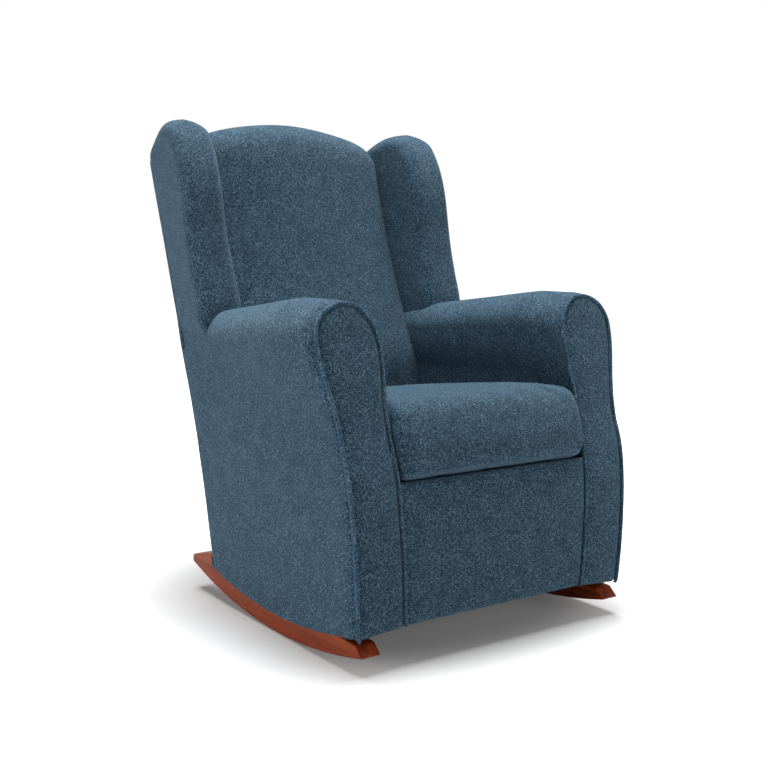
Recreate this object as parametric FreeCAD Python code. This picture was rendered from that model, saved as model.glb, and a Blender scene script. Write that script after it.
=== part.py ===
import FreeCAD, Part
import math
import os
from FreeCAD import Vector

# An upholstered wing chair on two curved wooden runners.
# Lengths are millimetres. +Z is up, +X is the right side seen from the front,
# and the chair faces -Y. Pieces are first drawn with y = 0 at the foot of the
# front apron and z = 0 on the floor, then moved so that the origin is the
# middle of the footprint.

# Main sizes
seat_width = 460
arm_width = 140
back_height = 1045
arm_height = 664
deck_height = 338
hem_height = 75
seat_slope_deg = 4

# Runners
runner_radius = 1250
runner_width = 43
contact_setback = 290
runner_front_reach = 299
runner_rear_reach = 380
runner_nose_height = 19
runner_nose_back = 21
runner_tail_height = 18
runner_depth_at_heel = 54
runner_heel_y = 591
runner_reveal = 35

# Stock of the wooden frame
arm_frame_width = 70
base_rail_height = 50
front_post_depth = 85
rear_post_depth = 45
rear_post_width = 38
rear_post_drop = 112
board_thickness = 24
wing_board_thickness = 12
rail_thickness = 20
cross_rail_height = 45
seat_rail_depth = 30
seat_rail_height = 60
side_rail_width = 24
block_leg = 45
block_height = 25

# Upholstery layers
front_layer = 12
back_layer = 3
inner_arm_layer = 20
deck_layer = 6
dust_layer = 1.5
cover_layer = 3
wing_layer = 12
welt_size = 6
welt_stand = 3

# Fits
soft_gap = 0.5
seat_gap = 0.3
same_point = 0.001
overrun = 300

# Front of the chair, seen from the side
front_bulge = 6
lean_start_z = 300
front_lean_deg = 14

# Back of the chair, seen from the side
kink_rise = 12
kink_y = 633
lower_rake_deg = 13.6
upper_rake_deg = 20.4
back_thickness = 100
back_arch = 41
back_crown = 25
back_top_drop = 60
back_tuck = 16
rail_top_drop = 85

# Arms
arm_roll_radius = 72
arm_fall_deg = 6.5
arm_level_y = 210
arm_neck_outer_z = 425
arm_neck_inner_z = 490
side_foot_swell = 8
side_neck_swell = 20
rear_foot_swell = 3
rear_neck_swell = 5
arm_cap = 56
rear_roll_radius = 52
panel_foot_spread = 14
scroll_radius = 48

# Seat cushion
cushion_thickness = 140
cushion_crown = 12
cushion_front = 25
cushion_front_bow = 12
cushion_setback = 106
cushion_rounding = 28

# Seat springs
wire_diameter = 4
spring_count = 5
spring_turns = 14
spring_half_width = 24
spring_side_gap = 32
clip_length = 22
clip_width = 26
clip_thickness = 2

# Worked out from the sizes above
seat_half = seat_width / 2
half_width = seat_half + arm_width
frame_inner_x = seat_half + inner_arm_layer
frame_outer_x = frame_inner_x + arm_frame_width
runner_outer_x = frame_outer_x
runner_inner_x = runner_outer_x - runner_width
runner_centre_x = (runner_inner_x + runner_outer_x) / 2
rear_post_inner_x = frame_outer_x - rear_post_width
kink_z = deck_height + kink_rise
back_half_width = seat_half + back_tuck
arm_roll_x = half_width - arm_roll_radius
arm_roll_z = arm_height - arm_roll_radius
side_outer_x = frame_outer_x + side_neck_swell
side_foot_x = frame_outer_x + side_foot_swell
side_rear_x = frame_outer_x + rear_neck_swell
rear_foot_x = frame_outer_x + rear_foot_swell
seat_slope = math.tan(math.radians(seat_slope_deg))
lower_rake = math.tan(math.radians(lower_rake_deg))
upper_rake = math.tan(math.radians(upper_rake_deg))
front_lean = math.tan(math.radians(front_lean_deg))
arm_fall = math.tan(math.radians(arm_fall_deg))
far = back_height + overrun

shapes = {}


# Drawing helpers
def track(place, steps):
    """Edges through a list of steps. A pair is a straight run, four numbers are an arc through a point."""
    at = place(*steps[0])
    edges = []
    for step in steps[1:]:
        end = place(*step[-2:])
        if end.distanceToPoint(at) < same_point:
            continue
        if len(step) == 4:
            edges.append(Part.Arc(at, place(*step[:2]), end).toShape())
        else:
            edges.append(Part.LineSegment(at, end).toShape())
        at = end
    return edges


places = {
    "side": lambda a, b: Vector(0, a, b),
    "front": lambda a, b: Vector(a, 0, b),
    "plan": lambda a, b: Vector(a, b, 0),
}


def outline(plane, steps):
    return Part.Wire(track(places[plane], steps + [steps[0]]))


def shaped(rows, at):
    """Steps from rows of shares: one point in a row is a straight run, two are an arc."""
    return [sum((at(*point) for point in row), ()) for row in rows]


def prism(plane, steps, low, high):
    """A closed outline carried from low to high, square to its plane."""
    axis = {"side": Vector(1, 0, 0), "front": Vector(0, 1, 0), "plan": Vector(0, 0, 1)}[plane]
    face = Part.Face(outline(plane, steps))
    face.translate(axis * low)
    return face.extrude(axis * (high - low))


def block(x0, x1, y0, y1, z0, z1):
    return Part.makeBox(x1 - x0, y1 - y0, z1 - z0, Vector(x0, y0, z0))


def minus(shape, *tools):
    for tool in tools:
        shape = shape.cut(tool)
    return shape


def mirrored(shape):
    return shape.mirror(Vector(0, 0, 0), Vector(1, 0, 0))


def keep(name, shape):
    shapes[name] = shape


def keep_pair(name, shape):
    keep(name + "_right", shape)
    keep(name + "_left", mirrored(shape))


def on_slope(shape):
    """Turn a piece that was drawn level, with z = 0 at the deck's top, down to the slope of the seat."""
    shape = shape.copy()
    shape.rotate(Vector(0, 0, 0), Vector(1, 0, 0), -seat_slope_deg)
    shape.translate(Vector(0, 0, deck_height))
    return shape


# Curves that many pieces share
def rear_y(z):
    """Outer face of the chair's back."""
    rake = lower_rake if z < kink_z else upper_rake
    return kink_y + (z - kink_z) * rake


def post_front_y(z):
    return rear_y(z) - back_layer - rear_post_depth


def deck_z(y):
    return deck_height - y * seat_slope


def front_steps(shift):
    """Front of the arms and apron from the floor up, moved back by shift."""
    return [
        (shift, 0),
        (shift, hem_height),
        (shift - front_bulge, (hem_height + lean_start_z) / 2, shift, lean_start_z),
        (shift + front_lean * (far - lean_start_z), far),
    ]


def before_front(shift):
    """Everything in front of that curve."""
    steps = front_steps(shift) + [(-overrun, far), (-overrun, 0)]
    return prism("side", steps, -far, far)


def behind_back(inset):
    """Everything behind the back's outer face, moved forward by inset."""
    steps = [
        (rear_y(0) - inset, 0),
        (rear_y(kink_z) - inset, kink_z),
        (rear_y(far) - inset, far),
        (rear_y(far) + far, far),
        (rear_y(far) + far, 0),
    ]
    return prism("side", steps, -far, far)


def arch_z(x, drop):
    """Top line of the back at x, lowered by drop."""
    return back_height - back_arch * (x / seat_half) ** 2 - drop


def below_arch(drop):
    edge = back_half_width + overrun / 2
    steps = [
        (-edge, 0),
        (edge, 0),
        (edge, arch_z(edge, drop)),
        (0, arch_z(0, drop), -edge, arch_z(edge, drop)),
    ]
    return prism("front", steps, 0, 2 * far)


def runner_bottom_z(y):
    return runner_radius - math.sqrt(runner_radius ** 2 - (y - contact_setback) ** 2)


def runner_top_z(y):
    front_y = contact_setback - runner_front_reach + runner_nose_back
    front_z = runner_bottom_z(front_y - runner_nose_back) + runner_nose_height
    heel_z = runner_bottom_z(runner_heel_y) + runner_depth_at_heel
    return front_z + (y - front_y) * (heel_z - front_z) / (runner_heel_y - front_y)


# Runners: D-shaped boards with a curved sole and cut-off ends
def make_runner():
    front_y = contact_setback - runner_front_reach
    tail_y = contact_setback + runner_rear_reach
    nose_y = front_y + runner_nose_back
    tail_z = runner_bottom_z(tail_y)
    tail_top_y = tail_y - runner_tail_height / 2
    steps = [
        (front_y, runner_bottom_z(front_y)),
        (contact_setback, 0, tail_y, tail_z),
        (tail_y, tail_z + runner_tail_height / 2, tail_top_y, tail_z + runner_tail_height),
        (runner_heel_y, runner_top_z(runner_heel_y)),
        (nose_y, runner_top_z(nose_y)),
    ]
    return prism("side", steps, runner_inner_x, runner_outer_x)


# Base rails on the runners, with the screws that hold the two together
base_front = front_layer + board_thickness
base_rear_y = rear_y(hem_height) - back_layer
screw_radius = 3.2
screw_head_radius = 6
screw_head_height = 4
screw_length = 85
screw_places_share = (0.16, 0.5, 0.84)


def above_runner(rise):
    """Everything on the right above the runner's straight top, raised by rise."""
    ends = (-overrun, far)
    steps = [(y, runner_top_z(y) + rise) for y in ends] + [(far, far), (-overrun, far)]
    return prism("side", steps, 0, far)


def make_base_rail():
    rail = minus(above_runner(0), above_runner(base_rail_height))
    rail = rail.common(block(runner_inner_x, runner_outer_x, 0, far, 0, far))
    return minus(rail, before_front(base_front), behind_back(back_layer))


def screw_shapes():
    made = []
    for share in screw_places_share:
        y = base_front + share * (base_rear_y - base_front)
        top = runner_top_z(y) + base_rail_height
        seat = top - screw_head_height
        head_foot = Vector(runner_centre_x, y, seat)
        shank_foot = Vector(runner_centre_x, y, seat - screw_length)
        bore = Part.makeCylinder(screw_head_radius, screw_head_height + overrun, head_foot)
        shank = Part.makeCylinder(screw_radius, screw_length, shank_foot)
        head = bore.common(block(0, far, 0, far, 0, top - screw_head_height / 2))
        made.append((bore, head, shank))
    return made


runner = make_runner()
base_rail = make_base_rail()
screws = []
for bore, head, shank in screw_shapes():
    runner = minus(runner, shank)
    base_rail = minus(base_rail, bore, shank)
    screws.append(head.fuse(shank).removeSplitter())
keep_pair("runner", runner)
keep_pair("base_rail", base_rail)
keep("runner_screws", Part.makeCompound(screws + [mirrored(screw) for screw in screws]))


# Posts and arm boards
def arm_ridge_z(y):
    return arm_height - (max(y, arm_level_y) - arm_level_y) * arm_fall


def arm_board_top_z(y):
    return arm_ridge_z(y) - arm_cap


def under_arm_board(drop):
    """Everything below the arm board's top, lowered by drop."""
    steps = [(-overrun, 0), (far, 0)]
    steps += [(y, arm_board_top_z(y) - drop) for y in (far, arm_level_y, -overrun)]
    return prism("side", steps, -far, far)


def between_fronts(shift, thickness):
    return minus(before_front(shift + thickness), before_front(shift))


above_base = above_runner(base_rail_height)
right_column = block(frame_inner_x, frame_outer_x, -overrun, far, 0, far)
behind_posts = behind_back(back_layer + rear_post_depth)

front_post = between_fronts(base_front, front_post_depth).common(right_column)
front_post = front_post.common(under_arm_board(rail_thickness)).common(above_base)
keep_pair("front_post", front_post)

rear_post = minus(behind_posts, behind_back(back_layer)).common(above_base)
rear_post_top_z = back_height - rear_post_drop
rear_post = rear_post.common(block(rear_post_inner_x, frame_outer_x, 0, far, 0, rear_post_top_z))
keep_pair("rear_post", rear_post)

arm_board = minus(under_arm_board(0), under_arm_board(rail_thickness)).common(right_column)
arm_board = minus(arm_board, before_front(base_front), behind_posts)
keep_pair("arm_board", arm_board)

# Key-hole shaped boards behind the arm fronts: a plank with a round head
panel_foot_z = hem_height - welt_size - welt_stand
scroll_plank = right_column.common(block(0, far, -overrun, far, panel_foot_z + welt_size, arm_roll_z))
scroll_centre = Vector(arm_roll_x, -overrun, arm_roll_z)
scroll_head = Part.makeCylinder(scroll_radius, 2 * overrun, scroll_centre, Vector(0, 1, 0))
scroll = scroll_plank.fuse(scroll_head).common(between_fronts(front_layer, board_thickness))
keep_pair("arm_front_board", scroll.removeSplitter())

# Lower cross pieces
board_bottom_z = hem_height + dust_layer + cover_layer
front_board_y = front_layer + welt_stand
front_board = block(
    -frame_inner_x, frame_inner_x, front_board_y, front_board_y + board_thickness,
    board_bottom_z, deck_z(front_board_y + board_thickness) - deck_layer - welt_stand,
)
front_board = minus(front_board, before_front(front_board_y))
keep("front_board", front_board)
rear_bottom_rail = block(
    -runner_inner_x, runner_inner_x, base_rear_y - rail_thickness, far,
    board_bottom_z, board_bottom_z + cross_rail_height,
)
keep("rear_bottom_rail", minus(rear_bottom_rail, behind_back(back_layer), rear_post, mirrored(rear_post)))
dust_cover = block(
    -frame_inner_x, frame_inner_x, front_board_y, far, board_bottom_z - dust_layer, board_bottom_z,
)
keep("dust_cover", minus(dust_cover, behind_back(back_layer)))

# Seat frame, drawn level with z = 0 at the top of the deck
rail_top = -(deck_layer + wire_diameter + clip_thickness)
rail_foot = rail_top - seat_rail_height
front_rail_y = front_board_y + board_thickness - rail_foot * seat_slope + seat_gap
rear_rail_y = post_front_y(deck_z(kink_y) - seat_rail_height) + welt_stand
side_rail_x = frame_inner_x - side_rail_width
rear_rail_end = rear_rail_y + seat_rail_depth
front_posts = (front_post, mirrored(front_post))
rear_posts = (rear_post, mirrored(rear_post))
seat_front_rail = block(
    -frame_inner_x, frame_inner_x, front_rail_y, front_rail_y + seat_rail_depth, rail_foot, rail_top,
)
seat_rear_rail = block(-frame_outer_x, frame_outer_x, rear_rail_y, rear_rail_end, rail_foot, rail_top)
side_rail = block(
    side_rail_x, frame_inner_x, front_rail_y + seat_rail_depth, rear_rail_y, rail_foot, -deck_layer,
)
keep("seat_front_rail", on_slope(seat_front_rail))
keep("seat_rear_rail", minus(on_slope(seat_rear_rail), *rear_posts).Solids[0])
keep_pair("seat_side_rail", on_slope(side_rail))

block_top = rail_top - clip_thickness
corner_blocks = []
for corner_y, along in ((front_rail_y + seat_rail_depth, 1), (rear_rail_y, -1)):
    steps = [
        (side_rail_x, corner_y),
        (side_rail_x - block_leg, corner_y),
        (side_rail_x, corner_y + along * block_leg),
    ]
    corner = on_slope(prism("plan", steps, block_top - block_height, block_top))
    corner_blocks += [corner, mirrored(corner)]
keep("corner_blocks", Part.makeCompound(corner_blocks))


# Seat springs: flat zigzag wires from clips on the front rail to clips on the rear rail
def spring_steps(x):
    """Half-turn bends joined by straight runs across, with a straight tail in each clip."""
    start_y = front_rail_y + clip_length / 2
    end_y = rear_rail_end - clip_length / 2
    tail = clip_length * spring_tail_share
    bend = (end_y - start_y - 2 * tail) / (2 * spring_turns + 2)
    reach = spring_half_width - bend
    turn = bend * math.sqrt(0.5)
    side = 1
    y = start_y + tail
    steps = [(x, start_y), (x, y), (x + bend - turn, y + turn, x + bend, y + bend)]
    y += bend
    for number in range(spring_turns):
        turn_x = x + side * reach
        steps.append((turn_x, y))
        steps.append((turn_x + side * bend, y + bend, turn_x, y + 2 * bend))
        y += 2 * bend
        side = -side
    steps.append((x - side * bend, y))
    steps.append((x - side * (bend - turn), y + bend - turn, x, y + bend))
    steps.append((x, end_y))
    return steps


def sweep(path, radius):
    start = path.Vertexes[0].Point
    ring = Part.Wire([Part.Circle(start, Vector(0, 1, 0), radius).toShape()])
    shell = Part.BRepOffsetAPI.MakePipeShell(path)
    shell.add(ring)
    shell.build()
    shell.makeSolid()
    return shell.shape()


spring_tail_share = 1.5
wire_z = rail_top + clip_thickness + wire_diameter / 2
last_spring_x = side_rail_x - spring_side_gap - spring_half_width
spring_spacing = 2 * last_spring_x / (spring_count - 1)
springs = []
clips = []
for number in range(spring_count):
    x = (number - (spring_count - 1) / 2) * spring_spacing
    path = Part.Wire(track(lambda a, b: Vector(a, b, wire_z), spring_steps(x)))
    springs.append(on_slope(sweep(path, wire_diameter / 2)))
    for clip_y in (front_rail_y, rear_rail_end - clip_length):
        clips.append(
            on_slope(
                block(
                    x - clip_width / 2, x + clip_width / 2, clip_y, clip_y + clip_length,
                    rail_top, rail_top + clip_thickness,
                )
            )
        )
keep("seat_springs", Part.makeCompound(springs))
keep("spring_clips", Part.makeCompound(clips))

# Seat deck of felt and cloth over the springs
deck = on_slope(block(-frame_inner_x, frame_inner_x, 0, rear_rail_end, -deck_layer, 0))
deck = minus(deck, before_front(front_board_y), *front_posts, *rear_posts)
keep("seat_deck", deck)
above_deck = on_slope(block(-far, far, -overrun, far, 0, far))
below_deck = on_slope(block(-far, far, -overrun, far, -far, 0))


# Cross rails of the back, flush with the front of the rear posts
def back_rail(low_z, high_z):
    steps = [
        (post_front_y(low_z), low_z),
        (post_front_y(high_z), high_z),
        (post_front_y(high_z) + rail_thickness, high_z),
        (post_front_y(low_z) + rail_thickness, low_z),
    ]
    return prism("side", steps, -rear_post_inner_x, rear_post_inner_x)


middle_rail_z = (kink_z + back_height - cross_rail_height) / 2
top_rail_z = rear_post_top_z - cross_rail_height
keep("back_bottom_rail", back_rail(kink_z, kink_z + cross_rail_height))
keep("back_middle_rail", back_rail(middle_rail_z, middle_rail_z + cross_rail_height))
top_rail = back_rail(top_rail_z, back_height).common(below_arch(rail_top_drop))
keep("back_top_rail", top_rail)

# Webbing over the front of the back rails
web_count = 4
web_width = 60
web_layer = 1.5
web_end_share = 0.25
webs = []
for number in range(web_count):
    x = (number - (web_count - 1) / 2) * (2 * back_half_width - web_width) / web_count
    low_z = kink_z + cross_rail_height * web_end_share
    high_z = top_rail_z + cross_rail_height * (1 - web_end_share)
    steps = [
        (post_front_y(low_z) - web_layer, low_z),
        (post_front_y(high_z) - web_layer, high_z),
        (post_front_y(high_z), high_z),
        (post_front_y(low_z), low_z),
    ]
    webs.append(prism("side", steps, x - web_width / 2, x + web_width / 2))
keep("back_webbing", Part.makeCompound(webs))


# Wings: a slab with a rounded front and top, around a plywood board.
# Each point is its rise above the arm, its depth ahead of the back, and how an inset moves it back and up.
wing_depth = 212
wing_flare = 34
wing_inner_flare = 25
wing_rear_swell = 3
wing_inner_draw = 2
wing_front_x = frame_outer_x + wing_flare
wing_inner_front_x = seat_half + wing_inner_flare
wing_rear_x = frame_outer_x + wing_rear_swell
wing_inner_rear_x = seat_half - wing_inner_draw
wing_edge_radius = 28
wing_peak_drop = 11
wing_foot_z = arm_board_top_z(kink_y)
wing_span = back_height - wing_peak_drop - arm_height
wing_foot_depth_share = 0.91
wing_reach_share = 1.15
wing_rear_rise_share = 0.8
wing_shares = (
    [(0.39, 1.03, 1, 0)],
    [(0.58, 1.1, 1, 0), (0.77, 1.12, 0.95, -0.3)],
    [(0.925, 1.03, 0.7, -0.7), (1.0, 0.82, 0, -1)],
    [(0.965, 0.44, -0.2, -1), (wing_rear_rise_share, 0.03, -1, -0.2)],
)


def wing_steps(inset):
    """Wing seen from the side."""

    def at(rise_share, depth_share, back_share, up_share):
        z = arm_height + rise_share * wing_span
        return (rear_y(z) - depth_share * wing_depth + back_share * inset, z + up_share * inset)

    foot_rear_y = rear_y(wing_foot_z)
    foot = (foot_rear_y - wing_foot_depth_share * wing_depth + inset, wing_foot_z)
    return [foot] + shaped(wing_shares, at) + [(foot_rear_y - back_layer, wing_foot_z)]


def wing_wedge(inset):
    """The wing's thickness: it stands along the back and opens outwards to the front."""
    wires = []
    for z in (kink_z, far):
        front_y = rear_y(z) - wing_depth * wing_reach_share
        steps = [
            (wing_inner_front_x + inset, front_y),
            (wing_front_x - inset, front_y),
            (wing_rear_x - inset, rear_y(z)),
            (wing_inner_rear_x + inset, rear_y(z)),
        ]
        wire = outline("plan", steps)
        wire.translate(Vector(0, 0, z))
        wires.append(wire)
    return Part.makeLoft(wires, True, True)


def wing_slab():
    slab = prism("side", wing_steps(0), 0, far).common(wing_wedge(0))
    slab = minus(slab, behind_back(back_layer))
    round_edges = []
    for edge in slab.Edges:
        box = edge.BoundBox
        middle = edge.valueAt((edge.FirstParameter + edge.LastParameter) / 2)
        along_face = box.XLength < wing_layer and max(box.YLength, box.ZLength) > wing_layer
        ahead = middle.y < rear_y(middle.z) - wing_layer
        if along_face and ahead and middle.z > wing_foot_z + welt_size:
            round_edges.append(edge)
    return slab.makeFillet(wing_edge_radius, round_edges)


wing = wing_slab()
hollow = prism("side", wing_steps(wing_layer), 0, far).common(wing_wedge(wing_layer))
wing_board_x = (rear_post_inner_x + frame_outer_x - wing_board_thickness) / 2
wing_board = hollow.common(block(wing_board_x, wing_board_x + wing_board_thickness, 0, 2 * far, 0, far))
wing_board = minus(wing_board, behind_posts, under_arm_board(0))
keep_pair("wing_board", wing_board)


# Arms: a rolled top over a narrower body
neck_swell_share = 0.01
waist_swell_share = 0.025


def arm_steps(outer, foot_x, roll_inset, inner_inset, foot_spread, roll_x, roll_z, radius, foot_z):
    """Arm seen from the front, on the right side."""
    r = radius - roll_inset
    inner = seat_half + inner_inset
    roll_in = min(roll_x - r, inner)
    roll_out = roll_x + r
    waist = ((inner + roll_in) / 2 - radius * waist_swell_share, (arm_neck_inner_z + roll_z) / 2)
    neck = ((roll_out + outer) / 2 + radius * neck_swell_share, (roll_z + arm_neck_outer_z) / 2)
    return [
        (inner - foot_spread, foot_z),
        (inner, deck_height),
        (inner, arm_neck_inner_z),
        (*waist, roll_in, roll_z),
        (roll_x, roll_z + r, roll_out, roll_z),
        (*neck, outer, arm_neck_outer_z),
        (foot_x, foot_z),
    ]


rear_roll_x = side_rear_x - rear_roll_radius
arm_front_y = -front_bulge - welt_size
arm_rear_y = rear_y(arm_height) + wing_layer
level_share = (arm_level_y - arm_front_y) / (arm_rear_y - arm_front_y)
side_middle_x = side_outer_x + level_share * (side_rear_x - side_outer_x)


def arm_envelope():
    sections = (
        (arm_front_y, side_outer_x, arm_roll_radius, arm_roll_x),
        (arm_level_y, side_middle_x, arm_roll_radius, arm_roll_x),
        (arm_rear_y, side_rear_x, rear_roll_radius, rear_roll_x),
    )
    wires = []
    for y, outer, radius, centre_x in sections:
        steps = arm_steps(
            outer=outer, foot_x=frame_outer_x, roll_inset=0, inner_inset=0, foot_spread=0, roll_x=centre_x,
            roll_z=arm_ridge_z(y) - radius, radius=radius, foot_z=hem_height,
        )
        wire = outline("front", steps)
        wire.translate(Vector(0, y, 0))
        wires.append(wire)
    return Part.makeLoft(wires, True, True)


arm = arm_envelope()
arm_core = right_column.common(under_arm_board(0)).fuse(scroll_head.common(before_front(base_front)))
lower_outside = block(frame_outer_x, far, -overrun, far, 0, arm_neck_outer_z)
between_posts = block(-rear_post_inner_x, rear_post_inner_x, 0, 2 * far, 0, 2 * far)
frame_zone = behind_posts.common(between_posts).common(below_arch(rail_top_drop))
arm_pad = minus(
    arm, arm_core, lower_outside, below_deck, before_front(front_layer), behind_back(back_layer),
    frame_zone, rear_post, wing_board,
)
wing_pad = minus(wing, hollow, arm, frame_zone, rear_post)
keep_pair("arm_pad", arm_pad)
keep_pair("wing_pad", wing_pad)


# Front faces of the arms, each edged by a welt
def arm_face(inset, foot_rise):
    steps = arm_steps(
        outer=side_outer_x - inset - welt_size, foot_x=side_foot_x - inset - welt_size,
        roll_inset=inset + welt_size, inner_inset=inset + welt_stand,
        foot_spread=panel_foot_spread, roll_x=arm_roll_x, roll_z=arm_roll_z, radius=arm_roll_radius,
        foot_z=panel_foot_z + foot_rise,
    )
    return prism("front", steps, -overrun, overrun)


welt = minus(arm_face(-welt_size / 2, 0), arm_face(welt_size / 2, welt_size))
welt = welt.common(between_fronts(-welt_stand, front_layer + welt_stand))
panel = minus(arm_face(0, 0).common(between_fronts(0, front_layer)), welt)
keep_pair("arm_front_panel", panel)
keep_pair("arm_welt", welt)

# Apron between the arms, padded out to the front board
apron_half = seat_half + welt_stand
apron_steps = [
    (-apron_half + panel_foot_spread, hem_height),
    (apron_half - panel_foot_spread, hem_height),
    (apron_half, deck_height),
    (-apron_half, deck_height),
]
padding = between_fronts(0, front_board_y).fuse(block(-far, far, -overrun, front_board_y, 0, lean_start_z))
apron = prism("front", apron_steps, -overrun, overrun).common(padding)
apron = minus(apron, before_front(0), above_deck, panel, welt, mirrored(panel), mirrored(welt))
keep("apron_panel", apron.removeSplitter())

# Outer sides, from the hem that follows the runner up to the roll of the arm
def hem_z(y):
    hem_radius = runner_radius - runner_reveal
    return runner_radius - math.sqrt(hem_radius ** 2 - (y - contact_setback) ** 2)


def side_wire(y, foot_x, outer):
    steps = [
        (frame_outer_x, 0),
        (foot_x, 0),
        (foot_x, hem_height),
        (outer, arm_neck_outer_z),
        (frame_outer_x, arm_neck_outer_z),
    ]
    wire = outline("front", steps)
    wire.translate(Vector(0, y, 0))
    return wire


hem_end_y = rear_y(far)
hem_steps = [
    (-overrun, far),
    (-overrun, hem_z(-overrun)),
    (contact_setback, runner_reveal, hem_end_y, hem_z(hem_end_y)),
    (hem_end_y, far),
]
above_hem = prism("side", hem_steps, -far, far)
side_wires = [
    side_wire(arm_front_y, side_foot_x, side_outer_x),
    side_wire(arm_rear_y, rear_foot_x, side_rear_x),
]
side_panel = Part.makeLoft(side_wires, True, True).common(above_hem)
keep_pair("outer_side_panel", minus(side_panel, before_front(front_layer), behind_back(back_layer)))

# Outer back, one thin padded panel that also closes the rear of the arms and wings
wing_rear_z = arm_height + wing_rear_rise_share * wing_span
arm_rear_z = arm_ridge_z(arm_rear_y)
corner_turn = wing_edge_radius * (1 - math.sqrt(0.5))
corner_z = wing_rear_z - wing_edge_radius
half_steps = [
    (0, 0),
    (rear_foot_x, 0),
    (rear_foot_x, hem_height),
    (side_rear_x, arm_neck_outer_z),
    (side_rear_x, arm_rear_z - rear_roll_radius),
    (wing_rear_x, arm_rear_z),
    (wing_rear_x, corner_z),
    (wing_rear_x - corner_turn, wing_rear_z - corner_turn, wing_rear_x - wing_edge_radius, wing_rear_z),
    (wing_inner_rear_x + wing_edge_radius, wing_rear_z),
    (wing_inner_rear_x + corner_turn, wing_rear_z - corner_turn, wing_inner_rear_x, corner_z),
    (wing_inner_rear_x, far),
    (0, far),
]
half_back = prism("front", half_steps, 0, 2 * far)
wing_column = block(wing_inner_rear_x, far, 0, 2 * far, 0, far)
rear_top = below_arch(back_top_drop).fuse(wing_column).fuse(mirrored(wing_column))
outer_back = half_back.fuse(mirrored(half_back)).common(rear_top).common(above_hem)
outer_back = minus(outer_back.common(behind_back(back_layer)), behind_back(0), runner, mirrored(runner))
keep("outer_back_panel", outer_back.removeSplitter())


# Back cushion: lofted across the chair through profiles seen from the side.
# Each point is its rise to the top line, its drop below it, and its share of the thickness and of the crown.
back_low_drop = 75
back_core_half = arm_roll_x - arm_roll_radius - cover_layer
back_front_rows = 5
back_foot_share = 0.745
back_shares = (
    [(0.14, 0, 1.12, 0.4)],
    [(0.3, 0, 1.18, 1.0), (0.4, 0, 1.0, 1.1)],
    [(0.55, 0, 0.93, 1.1), (0.75, 0, 1.0, 1.0)],
    [(1, 0.55, 1.16, 0.7)],
    [(1, 0.12, 1.195, 0.3), (1, 0, 1.02, 0)],
)
back_hump_share = (1, 0.12, 0.455, 0)
back_sections_share = (-1, -0.66, -0.33, 0, 0.33, 0.66, 1)


def back_profile(x):
    """Front, rolled top and rear of the back cushion at x."""
    crown = back_crown * (1 - (x / back_half_width) ** 2)
    top_z = arch_z(x, 0)

    def at(rise_share, drop_share, thick_share, crown_share):
        z = deck_height + rise_share * (top_z - deck_height) - drop_share * back_thickness
        return (rear_y(z) - thick_share * back_thickness - crown_share * crown, z)

    low_z = deck_height - back_low_drop
    rear_z = arch_z(x, back_top_drop)
    foot = (rear_y(low_z) - back_foot_share * back_thickness, low_z)
    rear = [
        (*at(*back_hump_share), rear_y(rear_z) - back_layer, rear_z),
        (rear_y(kink_z) - back_layer, kink_z),
        (rear_y(low_z) - back_layer, low_z),
    ]
    return [foot] + shaped(back_shares, at) + rear


def back_envelope():
    wires = []
    for share in back_sections_share:
        wire = outline("side", back_profile(share * back_half_width))
        wire.translate(Vector(share * back_half_width, 0, 0))
        wires.append(wire)
    return Part.makeLoft(wires, True, False)


def back_core():
    """Hollow a cover's thickness inside the front, in place of the light foam behind it."""
    low_z = deck_height + cover_layer
    wires = []
    for share in back_sections_share:
        x = share * back_core_half
        front = []
        for step in back_profile(x)[:back_front_rows]:
            front.append(tuple(value + cover_layer * (1 - place % 2) for place, value in enumerate(step)))
        top_z = front[-1][-1]
        rear = [
            (post_front_y(top_z) - web_layer - cover_layer, top_z),
            (post_front_y(low_z) - web_layer - cover_layer, low_z),
        ]
        wire = outline("side", [(front[0][0], low_z)] + front[1:] + rear)
        wire.translate(Vector(x, 0, 0))
        wires.append(wire)
    return Part.makeLoft(wires, True, False)


back = minus(back_envelope(), frame_zone, below_deck, behind_back(back_layer), shapes["back_webbing"])
back = minus(back, wing, mirrored(wing), arm, mirrored(arm), *rear_posts)
keep("back_cushion", minus(back, back_core()))


# Seat cushion: crowned, with rounded ends, drawn level and then laid on the slope.
# Each point is its share of the depth, lips behind it, share of the height, and lips above it.
cushion_lip_share = 0.28
cushion_shares = (
    [(0, 0.75, 0, 0)],
    [(0, 0.25, 0, 0.2), (0, 0.08, 0, 0.6)],
    [(0, -0.05, 0.5, 0), (0, 0.18, 1, -1)],
    [(0, 0.62, 1, -0.3), (0, 1.6, 1, 0)],
    [(0.4, 0, 1, 0.14), (1, -1, 1, -0.3)],
    [(1, -0.25, 1, -0.5), (1, 0, 1, -1.2)],
    [(1, 0, 0, 0.5)],
    [(1, -0.1, 0, 0.1), (1, -0.4, 0, 0)],
)
cushion_middle_shares = (-1, -0.5, 0, 0.5, 1)
cushion_end_shares = (0, 0.6, 0.88, 1)


def cushion_section(x, end_share, inset):
    """The cushion cut at x. Towards the end it is drawn in on a quarter round."""
    bow_share = (x / seat_half) ** 2
    draw = cushion_rounding * (1 - math.sqrt(1 - end_share ** 2))
    start_y = cushion_front_bow * bow_share - cushion_front + draw + inset
    end_y = kink_y - cushion_setback - draw / 2 - inset
    low = seat_gap + draw / 2 + inset
    top = cushion_thickness + cushion_crown * (1 - bow_share) - draw - inset
    lip = cushion_thickness * cushion_lip_share

    def at(depth_share, behind_share, height_share, above_share):
        y = start_y + depth_share * (end_y - start_y) + behind_share * lip
        return (y, low + height_share * (top - low) + above_share * lip)

    wire = outline("side", shaped(cushion_shares, at))
    wire.translate(Vector(x, 0, 0))
    return wire


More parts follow.
